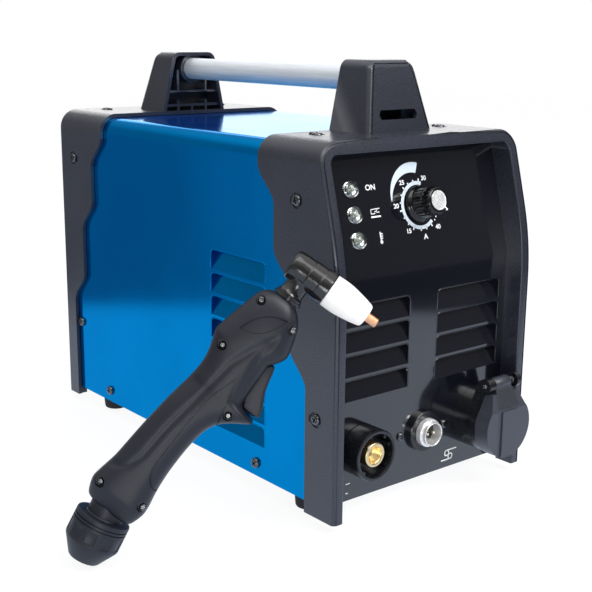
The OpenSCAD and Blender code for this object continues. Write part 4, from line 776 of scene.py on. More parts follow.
def turned(profile, sides=64):
    """A turned solid from a profile of radius and height in millimetres, along z."""
    radius, height = max(profile[0][0], NEARLY_ZERO), profile[0][1]
    piece = disc(sides, radius, height)
    edit(piece, "FACE")
    everything()
    for next_radius, next_height in profile[1:]:
        bpy.ops.mesh.extrude_region_move(TRANSFORM_OT_translate={"value": (0, 0, (next_height - height) * MM)})
        share = max(next_radius, NEARLY_ZERO) / radius
        bpy.ops.transform.resize(value=(share, share, 1), center_override=(0, 0, next_height * MM))
        radius, height = max(next_radius, NEARLY_ZERO), next_height
    leave()
    return outwards(piece)


def ringed(profile, sides=64):
    """A turned ring: a closed profile of radius and height, whose last step returns to the first."""
    piece = turned(profile + profile[:1], sides)
    edit(piece, "FACE")
    pick(piece, "FACE", lambda f: len(f.verts) == sides)
    bpy.ops.mesh.delete(type="ONLY_FACE")
    leave()
    return outwards(piece)


def arc_points(centre, radius, start, end, steps=6):
    """Points of an arc in a profile, with angles in degrees from the outward direction."""
    return [(centre[0] + radius * cos(radians(start + (end - start) * i / steps)), centre[1]
        + radius * sin(radians(start + (end - start) * i / steps))) for i in range(steps + 1)]

# %% [markdown]
# ## The torch's head
# The head is gloss black plastic: a short barrel across the neck, a collar where the neck leaves the handle,
# the white ceramic cup and the copper nozzle with its lengthwise facets.

# %% The head and its neck
HEAD_AT, HEAD_TILT, CUP_AT, CUP_LENGTH = 192.6, radians(3), 15.5, 26
NECK_RADIUS, HEAD_RADIUS, CUP_BASE, TIP_RADIUS, TIP_OUT = 6.9, 10, 9.8, 2.8, 7
head_place = (torch_place @ at(HEAD_AT, 0) @ spin(HEAD_TILT) @ spin(QUARTER, "X"))
neck_place = torch_place @ spin(QUARTER, "Y")

barrel = turned([(0, -11.2), (4, -11.1), *arc_points((6.6, -8.5), 2.5, -80, -10), (9.3, -4), (9.3, 0.6), (9.35, 1.0),
    (9.65, 1.3), (9.7, 1.7), (9.7, 8.3), (9.75, 8.7), (9.95, 9), (HEAD_RADIUS, 9.4), (HEAD_RADIUS, CUP_AT - 0.6),
    (HEAD_RADIUS - 0.4, CUP_AT - 0.1), (7.6, CUP_AT), (7.6, 19), (0, 19)], 72)
into_place(barrel, head_place)
neck = turned([(0, 168), (NECK_RADIUS, 168), (NECK_RADIUS, 174.2), (8.6, 174.2), (8.95, 174.5), (8.95, 175.5),
    (8.6, 175.8), (8.0, 175.9), (8.0, 176.4), (8.25, 176.6), (8.25, 177.2), (7.9, 177.5), (7.1, 178.6),
    (NECK_RADIUS, 180.5), (NECK_RADIUS - 0.1, 183), (NECK_RADIUS + 0.2, 185), (7.6, 186.2), (8, 187), (0, 192)], 64)
into_place(neck, neck_place)
head = cut(barrel, neck, "UNION")
smooth(head, 38)
stand_in(head, "torch_head")

# %% The cup and the nozzle
cup = turned([(7.6, 0.05), (CUP_BASE - 0.4, 0.05), (CUP_BASE - 0.1, 0.25), (CUP_BASE, 0.6), (CUP_BASE + 0.1, 4),
    (CUP_BASE + 0.1, 7.5), (CUP_BASE - 0.2, 11), (CUP_BASE - 0.8, 15), (CUP_BASE - 1.45, 19), (CUP_BASE - 2.1, 22),
    (CUP_BASE - 2.6, 24), (CUP_BASE - 3.1, 25.2), (CUP_BASE - 3.8, 25.8), (CUP_BASE - 4.8, CUP_LENGTH),
    (TIP_RADIUS + 0.6, CUP_LENGTH), (TIP_RADIUS + 0.3, CUP_LENGTH - 0.3), (TIP_RADIUS + 0.3, CUP_LENGTH - 4),
    (0, CUP_LENGTH - 4)], 96)
dressed(cup, head_place @ at(0, 0, CUP_AT), 50, "shield_cup")

NOZZLE_FACETS = 10
nozzle = turned([(0, 16), (TIP_RADIUS, 16), (TIP_RADIUS, CUP_LENGTH + TIP_OUT - 0.4),
    (TIP_RADIUS - 0.35, CUP_LENGTH + TIP_OUT), (0.75, CUP_LENGTH + TIP_OUT), (0.7, CUP_LENGTH + TIP_OUT - 2.5),
    (0, CUP_LENGTH + TIP_OUT - 2.5)], NOZZLE_FACETS)
into_place(nozzle, head_place @ at(0, 0, CUP_AT))
bevelled(nozzle, 0.12, 1, 20)
stand_in(nozzle, "nozzle_tip")

# %% [markdown]
# The boot is where the hose leaves the handle: a smooth neck, and a nut with two grip rings near its top and
# flats pressed into its side.

# %% The hose boot
BOOT_AT, BOOT_SIDE, BOOT_TILT = 13.3, 4, radians(12)
BOOT_LENGTH, BOOT_RADIUS, BOOT_END, BOOT_NECK, BOOT_BORE = 27.6, 16.2, 9, 10.5, 5.5
boot_place = (torch_place @ at(BOOT_AT, BOOT_SIDE) @ spin(BOOT_TILT) @ spin(-QUARTER, "Y"))
BOOT_FLATS = 10
boot = turned([(0, -8), (BOOT_NECK, -8), (BOOT_NECK, -0.4), (BOOT_NECK + 0.4, 0), (BOOT_RADIUS - 1.2, 0),
    (BOOT_RADIUS - 0.3, 0.35), (BOOT_RADIUS, 1.2), (BOOT_RADIUS, 2.6), (BOOT_RADIUS - 0.7, 2.8),
    (BOOT_RADIUS - 0.7, 3.3), (BOOT_RADIUS, 3.5), (BOOT_RADIUS, 4.6), (BOOT_RADIUS - 0.7, 4.8),
    (BOOT_RADIUS - 0.7, 5.3), (BOOT_RADIUS, 5.5), (BOOT_RADIUS, 15.6), (BOOT_RADIUS - 0.3, 16.6),
    (BOOT_END + 0.5, BOOT_LENGTH - 0.9), (BOOT_END - 0.3, BOOT_LENGTH - 0.2), (BOOT_BORE + 0.6, BOOT_LENGTH),
    (BOOT_BORE, BOOT_LENGTH - 0.6), (BOOT_BORE, BOOT_LENGTH - 12), (0, BOOT_LENGTH - 12)], 80)
for k in range(BOOT_FLATS):
    flat = bevelled(block(BOOT_RADIUS + 0.625, 0, 2.75, 6.8, 7, 14.6), 0.8, 2)
    cut(boot, into_place(flat, spin(2 * pi * k / BOOT_FLATS)))
dressed(boot, boot_place, 35, "torch_boot")

# %% [markdown]
# The trigger is a curved plate of its own outline with well rounded edges. It hangs on its pin in the slot.

# %% The trigger
TRIGGER_LINE = [(110.9, -22.3), (111, -26.2), (111.8, -28.5), (113.2, -29.5), (115.6, -29), (120, -26.6),
    (125, -23.8), (130, -22), (136, -20.4), (139.8, -19.2), (140.2, -17), (137.5, -12.8), (134.5, -11.6),
    (124, -12.6), (115, -16.4), (111.2, -18.6)]
TRIGGER_HALF = 5.9
trigger = plate(TRIGGER_LINE, -TRIGGER_HALF, TRIGGER_HALF)
bevelled(trigger, 1.6, 4, 60)
dressed(trigger, torch_place, 40, "torch_trigger")

# %% [markdown]
# Screw heads are turned too, with a cross cut by two short bars.

# %% Screws
PAN_HEAD, SHANK = (3.6, 2.2, 2.1, 1.3, 0.45), 1.7


def screw_head(radius, height, cross, deep, bar):
    """A pan head with a cross recess, standing on z = 0."""
    head = turned([(0, 0), (radius, 0), (radius, height * 0.35), (radius * 0.93, height * 0.7),
        (radius * 0.78, height * 0.93), (radius * 0.5, height), (0, height)], 32)
    for turn in (0, QUARTER):
        cut(head, block(0, 0, 2 * cross, 2 * bar, height - deep, height + 2, turn))
    return smooth(head, 40)


def screws(places, size, foot=None):
    """Screws at many places in one piece: heads of one size, with shanks if their foot is given."""
    made = []
    for place in places:
        screw = screw_head(*size)
        if foot:
            screw = joined([screw, rod(SHANK, foot, 0.2)], "screw")
        made.append(into_place(screw, place))
    return joined(made, "screws")


torch_screws = screws([torch_place @ at(x, y, SCREW_SEAT + 0.05) @ spin(0.5 + 0.9 * number)
    for number, (x, y) in enumerate(HANDLE_SCREWS)], (2.05, 1.3, 1.2, 0.8, 0.3))
finish(torch_screws, "torch_screws_dressed", "black_screw", "torch", ("torch_screws",))

# %% [markdown]
# ## The casing
# The moulded end frames have no sharp edge anywhere: the outer edges of the ring are generously rounded,
# the corners of the handle posts less so, and every other edge only a little. Each kind of edge is picked
# by the directions of the two faces that meet there, and bevelled by its own width.

# %% Rounding chosen edges
def pick_edges(piece, rule, least, most=180):
    """In edit mode, picks the edges whose faces meet at an angle between two limits and that a rule accepts.
    The rule gets the edge's middle in millimetres and the directions of its two faces."""
    def chosen(edge):
        if len(edge.link_faces) != 2:
            return False
        first, second = (face.normal for face in edge.link_faces)
        middle = (edge.verts[0].co + edge.verts[1].co) / 2 / MM
        return least < degrees(first.angle(second, 0)) < most and rule(middle, first, second)
    edit(piece, "EDGE")
    print(piece.name, "edges picked:", pick(piece, "EDGE", chosen))


def round_edges(piece, rule, width_mm, segments=3, clamp=True):
    """Bevels the edges that a rule accepts."""
    pick_edges(piece, rule, 25)
    bpy.ops.mesh.bevel(offset=width_mm * MM, segments=segments, affect="EDGES", clamp_overlap=clamp)
    leave()


def press_line(piece, rule, width_mm=0.6, depth_mm=0.7):
    """Presses a fine groove along the edges where a rounding meets the face beside it."""
    pick_edges(piece, rule, 8, 16)
    bpy.ops.mesh.bevel(offset=width_mm * MM, segments=1, affect="EDGES", clamp_overlap=False)
    bpy.ops.mesh.extrude_region_shrink_fatten(TRANSFORM_OT_shrink_fatten={"value": -depth_mm * MM})
    leave()


FRAME_TOP, RING_HALF, BEAD = 236, 78, 2


def frame_dressed(node, forwards):
    """An end frame with its edges rounded. forwards is -1 for the front one and 1 for the rear one."""
    piece = copy_of(node)

    def out(normal):
        return normal.y * forwards > 0.9

    def outer_edge(middle, first, second):
        outside = abs(middle.x) > RING_HALF + 4 or middle.z > FRAME_TOP - 4
        below_post = abs(middle.x) < 34 and middle.z > FRAME_TOP - 0.5
        return (out(first) or out(second)) and outside and middle.z < FRAME_TOP + 0.5 and not below_post

    def inner_edge(middle, first, second):
        return (out(first) or out(second)) and abs(middle.x) < RING_HALF + 1 and middle.z < FRAME_TOP - 7

    def post_edge(middle, first, second):
        outward = [n for n in (first, second) if n.y * forwards > 0.6]
        return bool(outward) and middle.z > FRAME_TOP + 2 and not (abs(middle.x) < 17 and middle.z < FRAME_TOP + 15)

    def wavy_edge(middle, first, second):
        sides = max(abs(first.x), abs(second.x)) > 0.95 or max(first.z, second.z) > 0.95
        return sides and min(first.y * forwards, second.y * forwards) < -0.25 and middle.z < FRAME_TOP + 0.5

    def bead_foot(middle, first, second):
        outside = abs(middle.x) > RING_HALF + 3 or middle.z > FRAME_TOP - 6
        turns_out = abs(abs(first.x) - abs(second.x)) > 0.1 or middle.z > FRAME_TOP - 8
        return outside and turns_out and min(first.y * forwards, second.y * forwards) > 0.85

    round_edges(piece, post_edge, 3.4, 5, clamp=False)
    round_edges(piece, outer_edge, BEAD, 4, clamp=False)
    press_line(piece, bead_foot)
    round_edges(piece, inner_edge, 1.2, 3)
    round_edges(piece, wavy_edge, 0.7, 2)
    even_shading(piece, 35)
    return stand_in(piece, node)

# %% The end frames
frame_dressed("front_frame", -1)
frame_dressed("rear_frame", 1)
# A rib closes each post behind its slot. It is black plastic, darker than the frame, as painted shade inside the
# slot.
for number, y in enumerate((-104, 119)):
    rib = into_place(block(0, 7.5, 42, 15, -0.5, 0.5), at(0, y, FRAME_TOP) @ spin(QUARTER, "X"))
    finish(rib, f"post_slot_shade_rib_{number}", "black_plastic", "unit")

# %% The sheet metal
# Pressed sheet has a small radius at every bend, so the lips of the louvres catch a thin line of light.
LOUVRE_HALF, LOUVRE_PITCH, LOUVRE_IN, SHEET = 30, 15.6, 5, 1.5
CHEEK = [(-0.1, -13.6), (-0.1, -3.6), (-1.6, -3.6), (-1.6, 0.4), (-LOUVRE_IN - SHEET, 0.4), (-SHEET, -13.6)]
LIP_IN, LIP_CORNER = 0.25, 3.5
LIP_LINE = [(-LOUVRE_HALF + LIP_IN, -13.6), (-LOUVRE_HALF + LIP_IN, -8)]
LIP_LINE += [(-LOUVRE_HALF + LIP_CORNER - (LIP_CORNER - LIP_IN) * cos(radians(15 * k)),
    -LIP_CORNER + (LIP_CORNER - LIP_IN) * sin(radians(15 * k))) for k in range(7)]
LIP_LINE += [(-x, y) for x, y in reversed(LIP_LINE)]
OUT_FIRST = Matrix(((0, 0, -1, 0), (0, 1, 0, 0), (1, 0, 0, 0), (0, 0, 0, 1)))


def louvre_cheeks(across, out, tops):
    """The two closed ends of each louvre and the rolled lip round its opening."""
    frame = Matrix((across, (0, 0, 1), out)).transposed().to_4x4()
    made = []
    for top in tops:
        for side in (-1, 1):
            cheek = plate(CHEEK, -0.4, 0.4)
            shift = at(side * (LOUVRE_HALF - 0.5), 0)
            made.append(into_place(cheek, Matrix.Translation(Vector(top) * MM) @ frame @ shift @ OUT_FIRST))
        lip = plate(strip(LIP_LINE, 0.9), -0.5, 0.25)
        bevelled(lip, 0.3, 2, 60)
        made.append(into_place(smooth(lip, 60), Matrix.Translation(Vector(top) * MM) @ frame))
    return made


SIDE_LOUVRE_Y, SIDE_LOUVRE_TOP, COVER_HALF, FRONT_LOUVRE_X, FRONT_LOUVRE_TOP = -64.5, 157, 83, 42, 137.5
side_ends = [end for side in (-1, 1) for end in louvre_cheeks((0, side, 0), (side, 0, 0),
    [(side * COVER_HALF, SIDE_LOUVRE_Y, SIDE_LOUVRE_TOP - LOUVRE_PITCH * k) for k in range(8)])]
softened("cover", 0.45, 2, 30, side_ends)
front_ends = louvre_cheeks((1, 0, 0), (0, -1, 0), [(side * FRONT_LOUVRE_X, -152, FRONT_LOUVRE_TOP - LOUVRE_PITCH * k)
    for side in (-1, 1) for k in range(4)])
softened("front_panel", 0.55, 2, 30, front_ends)
for node, width, segments in (("rear_panel", 0.3, 2), ("base_pan", 0.3, 2), ("feet", 0.8, 3)):
    softened(node, width, segments, 30)

# %% The casing's screws
# On each side [y, z], and on the tops [x, y]. A head sits in its counterbore or on the sheet.
SIDE_SCREWS = ((85, [(-128, 200.5), (-148, 69.5), (146, 200)]), (83, [(146, 68), (104, 21), (-85, 21)]))
TOP_SCREWS, TOP_SEAT = [(-54, -108), (54, -108), (-54, 148), (54, 148)], 235
places = [at(side * seat, y, z) @ spin(side * QUARTER, "Y") for side in (-1, 1) for seat, spots in SIDE_SCREWS
    for y, z in spots] + [at(x, y, TOP_SEAT) for x, y in TOP_SCREWS]
places = [place @ spin(0.3 + 0.7 * number) for number, place in enumerate(places)]
stand_in(smooth(screws(places, PAN_HEAD, -9), 40), "casing_screws")

# %% [markdown]
# ## The control panel's fittings
# The panel folds back above the louvres, so there are two kinds of place on it: on the upright part, given
# by its distance from the middle and its height, and on the slope, given by its distance up from the fold.

# %% Places on the panel
PANEL_Y, PANEL_FOLD, PANEL_SLOPE, SOCKET_HEIGHT = -152, 155, radians(15), 44


def on_slope(x, up):
    """A place on the slope, with z pointing out of it."""
    return (at(0, PANEL_Y, PANEL_FOLD) @ spin(QUARTER - PANEL_SLOPE, "X") @ at(x, up))


def on_front(x, height):
    """A place on the upright part, with z pointing out of it."""
    return at(x, PANEL_Y, height) @ spin(QUARTER, "X")


def fluted(piece, low, high, radius, flutes, shares):
    """Draws in rows of vertices of a turned piece: one share for each distance from a flute's middle."""
    pitch = 2 * pi / flutes
    step = pitch / (2 * len(shares))
    edit(piece)
    for number, share in enumerate(shares):
        def in_flute(v, number=number):
            angle = abs((atan2(v.co.y, v.co.x) + pitch / 2) % pitch - pitch / 2)
            return (low < v.co.z / MM < high and v.co.xy.length > (radius - 0.5) * MM
                and abs(angle - number * step) < step / 4)
        pick(piece, "VERT", in_flute)
        bpy.ops.transform.resize(value=(share, share, 1), center_override=(0, 0, 0))
    leave()
    return piece

# %% The knob
KNOB_X, KNOB_UP, KNOB_RADIUS, KNOB_HEIGHT, KNOB_FLUTES = 2, 38.5, 9.3, 18, 20
knob = turned([(0, 0.3), (11, 0.3), (11.5, 0.7), (11.5, 1.6), (11.1, 2.2), (10.1, 2.8), (9.5, 3.4),
    (KNOB_RADIUS, 4.4), (KNOB_RADIUS, 9), (KNOB_RADIUS, 15.4), (9, 16.1), (8.7, 16.5), (8.2, 17.4), (7.8, 17.9),
    (7.3, KNOB_HEIGHT), (6.6, KNOB_HEIGHT), (6.3, 17.8), (6.3, 16.6), (0, 16.6)], KNOB_FLUTES * 6)
fluted(knob, 3.8, 16.2, KNOB_RADIUS, KNOB_FLUTES, (0.965, 0.975, 0.993))
dressed(knob, on_slope(KNOB_X, KNOB_UP), 50, "knob")

CAP_RADIUS, CAP_RINGS = 6.2, 13
spun_face = [(CAP_RADIUS - 1 - 0.4 * k, 17.95 - 0.03 * (k % 2)) for k in range(CAP_RINGS)]
cap = turned([(0, 16.65), (CAP_RADIUS, 16.65), (CAP_RADIUS, 18.1), (6.05, 18.3), (5.75, 18.3), (5.6, 18.15),
    (5.5, 17.95), *spun_face, (0, 17.95)], 144)
dressed(cap, on_slope(KNOB_X, KNOB_UP), 4, "knob_cap")

# %% The pilot lamps
# Each lamp is a hollow clear dome over a bright cone with facets, and a milky lamp in its middle.
LAMP_X, LAMP_UP, LAMP_PITCH, LENS_RADIUS = -53, 21, 15.6, 5.2
lenses, cones, cores = [], [], []
for k in range(3):
    place = on_slope(LAMP_X, LAMP_UP + k * LAMP_PITCH)
    lens = ringed([(4.2, 0.1), (LENS_RADIUS, 0.1), (LENS_RADIUS, 0.8), (4.95, 1.8), (4.3, 2.8), (3.2, 3.5),
        (1.8, 3.9), (0, 4), (0, 3.3), (1.6, 3.2), (2.9, 2.7), (3.8, 1.8), (4.2, 0.9)], 48)
    lenses.append(smooth(into_place(lens, place), 60))
    cone = turned([(0, 0.1), (4.1, 0.1), (4.15, 1.1), (3.8, 1.2), (1.5, 0.3), (0, 0.3)], 11)
    cones.append(into_place(cone, place @ spin(0.7 * k)))
    core = turned([(0, 0.2), (1.5, 0.2), (1.5, 1.8), (1.2, 2.5), (0.6, 2.9), (0, 3)], 24)
    cores.append(smooth(into_place(core, place), 60))
stand_in(joined(lenses, "pilot_lenses_dressed"), "pilot_lenses")
finish(joined(cones, "pilot_cones"), "pilot_cones", "bright_steel", "unit")
finish(joined(cores, "pilot_cores"), "pilot_cores", "white_ceramic", "unit")

# %% The torch socket
# A round housing with a recess, in which a turned brass insert stands between short ribs.
TORCH_SOCKET_X, TORCH_SOCKET_RADIUS, TORCH_SOCKET_OUT = -52, 16.5, 15
RECESS, RECESS_FLOOR, INSERT, BORE, RIBS = 13.8, 5, 8, 5.2, (-40, -10, 20, 50, 160, 195, 230)
parts = [turned([(0, 0.2), (16.2, 0.2), (TORCH_SOCKET_RADIUS, 0.5), (TORCH_SOCKET_RADIUS, TORCH_SOCKET_OUT - 0.8),
    (16.2, TORCH_SOCKET_OUT - 0.2), (15.7, TORCH_SOCKET_OUT), (14.5, TORCH_SOCKET_OUT),
    (14.05, TORCH_SOCKET_OUT - 0.25), (RECESS, TORCH_SOCKET_OUT - 0.8), (RECESS, RECESS_FLOOR), (0, RECESS_FLOOR)],
    96)]
for angle in RIBS:
    rib = block(RECESS - 0.6, 0, 1.8, 2.2, RECESS_FLOOR - 0.5, TORCH_SOCKET_OUT - 2.2)
    parts.append(into_place(rib, spin(radians(angle))))
housing = joined(parts, "torch_socket_housing_dressed")
dressed(housing, on_front(TORCH_SOCKET_X, SOCKET_HEIGHT), 35, "torch_socket_housing")

insert = turned([(0, RECESS_FLOOR - 1), (INSERT, RECESS_FLOOR - 1), (INSERT, 12.8), (INSERT - 0.25, 13.3),
    (INSERT - 0.6, 13.5), (BORE + 0.7, 13.5), (BORE + 0.4, 13.3), (BORE + 0.3, 12.9), (BORE, 12.6), (BORE - 0.5, 9.5),
    (BORE - 2.2, 7.5), (0, 7.4)], 72)
key = block(INSERT - 0.2, 0, 2.6, 2.4, RECESS_FLOOR, 13.2)
bevelled(key, 0.3, 2)
into_place(key, spin(radians(128)))
insert = joined([insert, key], "torch_socket_insert_dressed")
dressed(insert, on_front(TORCH_SOCKET_X, SOCKET_HEIGHT), 35, "torch_socket_insert")

# %% The trigger socket
CONTROL_X, FLANGE, SHELL, BAND, SHELL_OUT, KNURLS = 2.5, 13.6, 8, 9.4, 10.9, 60
flange = turned([(0, 0.1), (FLANGE, 0.1), (FLANGE, 3.1), (FLANGE - 0.4, 3.5), (10.4, 3.5), (10.2, 3.3), (0, 3.3)], 96)
dressed(flange, on_front(CONTROL_X, SOCKET_HEIGHT), 35, "control_socket_flange")

shell = ringed([(SHELL - 0.9, 1.2), (SHELL + 0.2, 1.2), (SHELL + 0.2, 3.4), (BAND - 0.2, 3.4), (BAND, 3.7),
    (BAND, 5.4), (BAND, 7.1), (BAND - 0.2, 7.4), (SHELL + 0.1, 7.5), (SHELL, 7.7), (SHELL, SHELL_OUT - 0.6),
    (SHELL - 0.2, SHELL_OUT - 0.15), (SHELL - 0.45, SHELL_OUT), (SHELL - 0.75, SHELL_OUT - 0.2),
    (SHELL - 0.9, SHELL_OUT - 0.6)], KNURLS * 2)
fluted(shell, 3.6, 7.2, BAND, KNURLS, (0.985,))
dressed(shell, on_front(CONTROL_X, SOCKET_HEIGHT), 20, "control_socket_shell")

PIN_OFF = 2.8
pin_line = [(0, 0.5), (1, 0.5), (1, 7.8), (0.85, 8.3), (0.5, 8.65), (0, 8.75)]
pins = [into_place(smooth(turned(pin_line, 32), 60), on_front(CONTROL_X + side * PIN_OFF, SOCKET_HEIGHT))
    for side in (-1, 1)]
stand_in(joined(pins, "pins"), "control_socket_pins")

PANEL_SCREW_OFF = 20
places = [on_front(CONTROL_X + side * PANEL_SCREW_OFF, SOCKET_HEIGHT) @ spin(0.4 + number)
    for number, side in enumerate((-1, 1))]
stand_in(screws(places, (2.9, 1.8, 1.6, 1.1, 0.36)), "socket_screws")

# %% The earth socket and its lid
# The lid's edges are rounded, also the blunt ridge across it. Its barrel gets its full thickness, and the
# slope below the barrel carries a plate with a rough grain.
LID_X, HINGE_Y, HINGE_HEIGHT, BARREL, BARREL_HALF = 52, -173, 72, 4.5, 7.5
softened("earth_socket_housing", 0.6, 3)
softened("lid_hinge_pin", 0.3, 2)
barrel = turned([(0, -BARREL_HALF), (BARREL - 0.6, -BARREL_HALF), (BARREL, 0.6 - BARREL_HALF),
    (BARREL, BARREL_HALF - 0.6), (BARREL - 0.6, BARREL_HALF), (0, BARREL_HALF)], 48)
into_place(barrel, at(LID_X, HINGE_Y, HINGE_HEIGHT) @ spin(QUARTER, "Y"))
smooth(barrel, 50)
softened("socket_lid", 1.1, 3, 15, [barrel])

SLOPE_TOP, SLOPE_LOW, PLATE_TOP, PLATE_LOW = (-176.3, 72.6), (-183.3, 56), 8, 10.5
slope_back = atan2(SLOPE_TOP[0] - SLOPE_LOW[0], SLOPE_TOP[1] - SLOPE_LOW[1])
rough_plate = plate([(-PLATE_LOW, 1.6), (PLATE_LOW, 1.6), (PLATE_TOP, 14.6), (-PLATE_TOP, 14.6)], -0.5, 0.35)
bevelled(rough_plate, 0.3, 2)
into_place(rough_plate, at(LID_X, SLOPE_LOW[0], SLOPE_LOW[1]) @ spin(QUARTER - slope_back, "X"))
rough_grain = moulded_plastic("rough_grain", (0.02, 0.022, 0.032), 0.5, grain=0.9, depth=0.12)
detail(rough_plate, "lid_rough_plate", rough_grain, body_of_node["socket_lid"])

# %% [markdown]
# ## What is printed on the panel
# Printed marks are thin plates of ink, a few hundredths of a millimetre thick. A mark is an outline on the
# panel: bands and crescents come from arcs, signs from strips along a line, and figures from text made a mesh.

# %% Helpers for printing
INK = 0.06
white_ink = moulded_plastic("white_ink", (0.8, 0.82, 0.84), depth=0.002, variation=0.03)
pale_ink = moulded_plastic("pale_ink", (0.62, 0.71, 0.8), depth=0.002, variation=0.05)


def circle_through(a, b, c):
    """The centre and radius of the circle through three points."""
    a, b, c = (Vector(p) for p in (a, b, c))
    ab, ac = b - a, c - a
    twice = 2 * (ab.x * ac.y - ab.y * ac.x)
    centre = a + Vector((ac.y * ab.length_squared - ab.y * ac.length_squared, ab.x * ac.length_squared
        - ac.x * ab.length_squared)) / twice
    return centre, (a - centre).length


def arc_through(a, b, c, steps=24):
    """Points along the arc from a over b to c."""
    centre, radius = circle_through(a, b, c)
    angles = [atan2(p[1] - centre.y, p[0] - centre.x) for p in (a, b, c)]
    turn = (angles[2] - angles[0]) % (2 * pi)
    if (angles[1] - angles[0]) % (2 * pi) > turn:
        turn -= 2 * pi
    return [(centre.x + radius * cos(angles[0] + turn * i / steps), centre.y + radius * sin(angles[0] + turn * i
        / steps)) for i in range(steps + 1)]


def around(centre, radius, degrees):
    """A point on a circle, at an angle clockwise from straight up."""
    return (centre[0] + radius * sin(radians(degrees)), centre[1] + radius * cos(radians(degrees)))


def printed(outlines, place):
    """Thin plates of ink from outlines, at one place of the panel."""
    marks = [plate(outline, 0, INK) for outline in outlines]
    mark = joined(marks, "ink")
    return into_place(mark, place)


def printed_text(words, x, y, height, place, wide=1.0):
    """Text as a thin mesh, with its middle at x, y."""
    deselect()
    bpy.ops.object.text_add()
    text = bpy.context.active_object
    text.data.body = words
    text.data.align_x, text.data.align_y = "CENTER", "CENTER"
    text.data.size = height * 1.4 * MM
    text.data.offset = 0.1 * MM
    text.data.extrude = INK / 2 * MM
    bpy.ops.object.convert(target="MESH")
    text = bpy.context.active_object
    return into_place(text, place @ at(x, y, INK / 2) @ Matrix.Diagonal((wide, 1, 1, 1)))

# %% The dial's scale and figures
DIAL = (2, 37.8)
BAND_IN, BAND_OUT, TICK_OUT = 13, 15.3, 16.3
TICKS = [10 - 18 * k for k in range(10)] + [-176, -194, -213]
LONG_TICKS = (0, 3, 6, 9, 12)


def tick(centre, inner, outer, angle, half):
    """A short mark towards a centre."""
    return [around(centre, radius, angle + side * half) for radius, side in ((inner, -1), (outer, -1), (outer, 1),
        (inner, 1))]


def arc_band(centre, inner, outer, start, end, steps):
    """A band along an arc."""
    return ([around(centre, outer, start + (end - start) * i / steps) for i in range(steps + 1)]
        + [around(centre, inner, end + (start - end) * i / steps) for i in range(steps + 1)])


crescent = (arc_through((-20.7, 41.5), (-12.7, 61.1), (5.8, 64.4)) + arc_through((3.1, 58.2), (-13.1, 54.9),
    (-19.9, 43.5)))
pale_marks = printed([crescent, arc_band(DIAL, BAND_IN, BAND_OUT, 18, -222, 40)], on_slope(0, 0))
slope_marks = [tick(DIAL, BAND_IN + 0.6, TICK_OUT + (0.7 if number in LONG_TICKS else 0), angle, 1.6)
    for number, angle in enumerate(TICKS)]
slope_marks += [[around(around(DIAL, 16, angle), 0.55, 60 * k) for k in range(6)] for angle in (131, 122)]
detail(pale_marks, "printed_scale", pale_ink, "unit")

# %% The signs beside the lamps
# The torch sign is a bent outline over a bar, and the heat sign a thermometer with its scale.
torch_sign = [strip(line, 0.5) for line in ([(-39.3, 36), (-39.3, 38.6), (-34.6, 39), (-34.6, 37.4)],
    [(-39.3, 36), (-36.2, 36.1), (-36.2, 37.4), (-34.6, 37.4)], [(-34.6, 38.8), (-32, 39)],
    [(-34.8, 36.6), (-32.4, 36.8)])]
heat_sign = [strip([(-34.2, 19), (-34.5, 24.6)], 0.9), [around((-34.1, 18.4), 1.15, 30 * k) for k in range(12)]]
heat_sign += [strip([(-34.4, 20.6 + 1.4 * k), (-32.5, 20.5 + 1.4 * k)], 0.6) for k in range(3)]
slope_marks += torch_sign + heat_sign + [strip([(-39.6, 34.1), (-31.7, 34.1)], 1.0)]
FIGURE, LETTER = 2.9, 3.4
letters = [printed_text(words, x, y, height, on_slope(0, 0), 1.1) for words, x, y, height in (("ON", -36.9, 52.1,
    LETTER), ("15", -9.9, 22.4, FIGURE), ("20", -17.6, 38.8, FIGURE), ("25", -9.9, 52.9, FIGURE),
    ("30", 9.5, 54.4, FIGURE), ("40", 16.2, 22.6, FIGURE), ("A", 4.1, 17.5, 3.3))]
slope_white = printed(slope_marks, on_slope(0, 0))

# %% The signs under the sockets
loops = [into_place(ringed([(1.5, 0), (2.3, 0), (2.3, INK), (1.5, INK)], 32), on_front(x, y))
    for x, y in ((27.2, 22), (30.6, 19.2))]
front_white = printed([strip([start, end], width) for start, end, width in (((22, 17.3), (30.6, 17.3), 0.9),
    ((27.2, 23.9), (36.5, 23.9), 0.9), ((-63.9, 23.1), (-60.4, 23.2), 0.7), ((-64.1, 17.1), (-61.9, 16.9), 0.7))],
    on_front(0, 0))
detail(joined(letters + loops + [slope_white, front_white], "printed_marks"), "printed_marks", white_ink, "unit")
pointer = block(7.7, 0, 2.9, 0.8, KNOB_HEIGHT - 1.4, KNOB_HEIGHT + 0.1)
into_place(pointer, on_slope(KNOB_X, KNOB_UP) @ spin(radians(90 - 136)))
detail(pointer, "knob_pointer", white_ink, "knob")

# %% [markdown]
# ## The rear
# The rear carries the fan behind a guard of round wire, the mains switch, the clamp of the mains lead and the
# compressed-air regulator with its gauge and bowl. Round parts are turned on their own axis and then moved
# to their place, with z pointing out of the rear panel.

# %% Places on the rear
REAR_Y, REGULATOR = 152, (34, 192, 92)
FAN_X, FAN_HEIGHT, FAN_DEEP, GUARD_CORNER = -26, 168, 25, 35.7


def on_rear(x, y, height):
    """A place on the rear, with z pointing backwards."""
    return (at(x, y, height) @ spin(pi) @ spin(QUARTER, "X"))


def wire_ring(radius, wire, height, sides=96):
    """A ring of round wire."""
    ring = ringed([(radius + wire * cos(radians(45 * k)), height + wire * sin(radians(45 * k))) for k in range(8)],
        sides)
    return smooth(ring, 60)

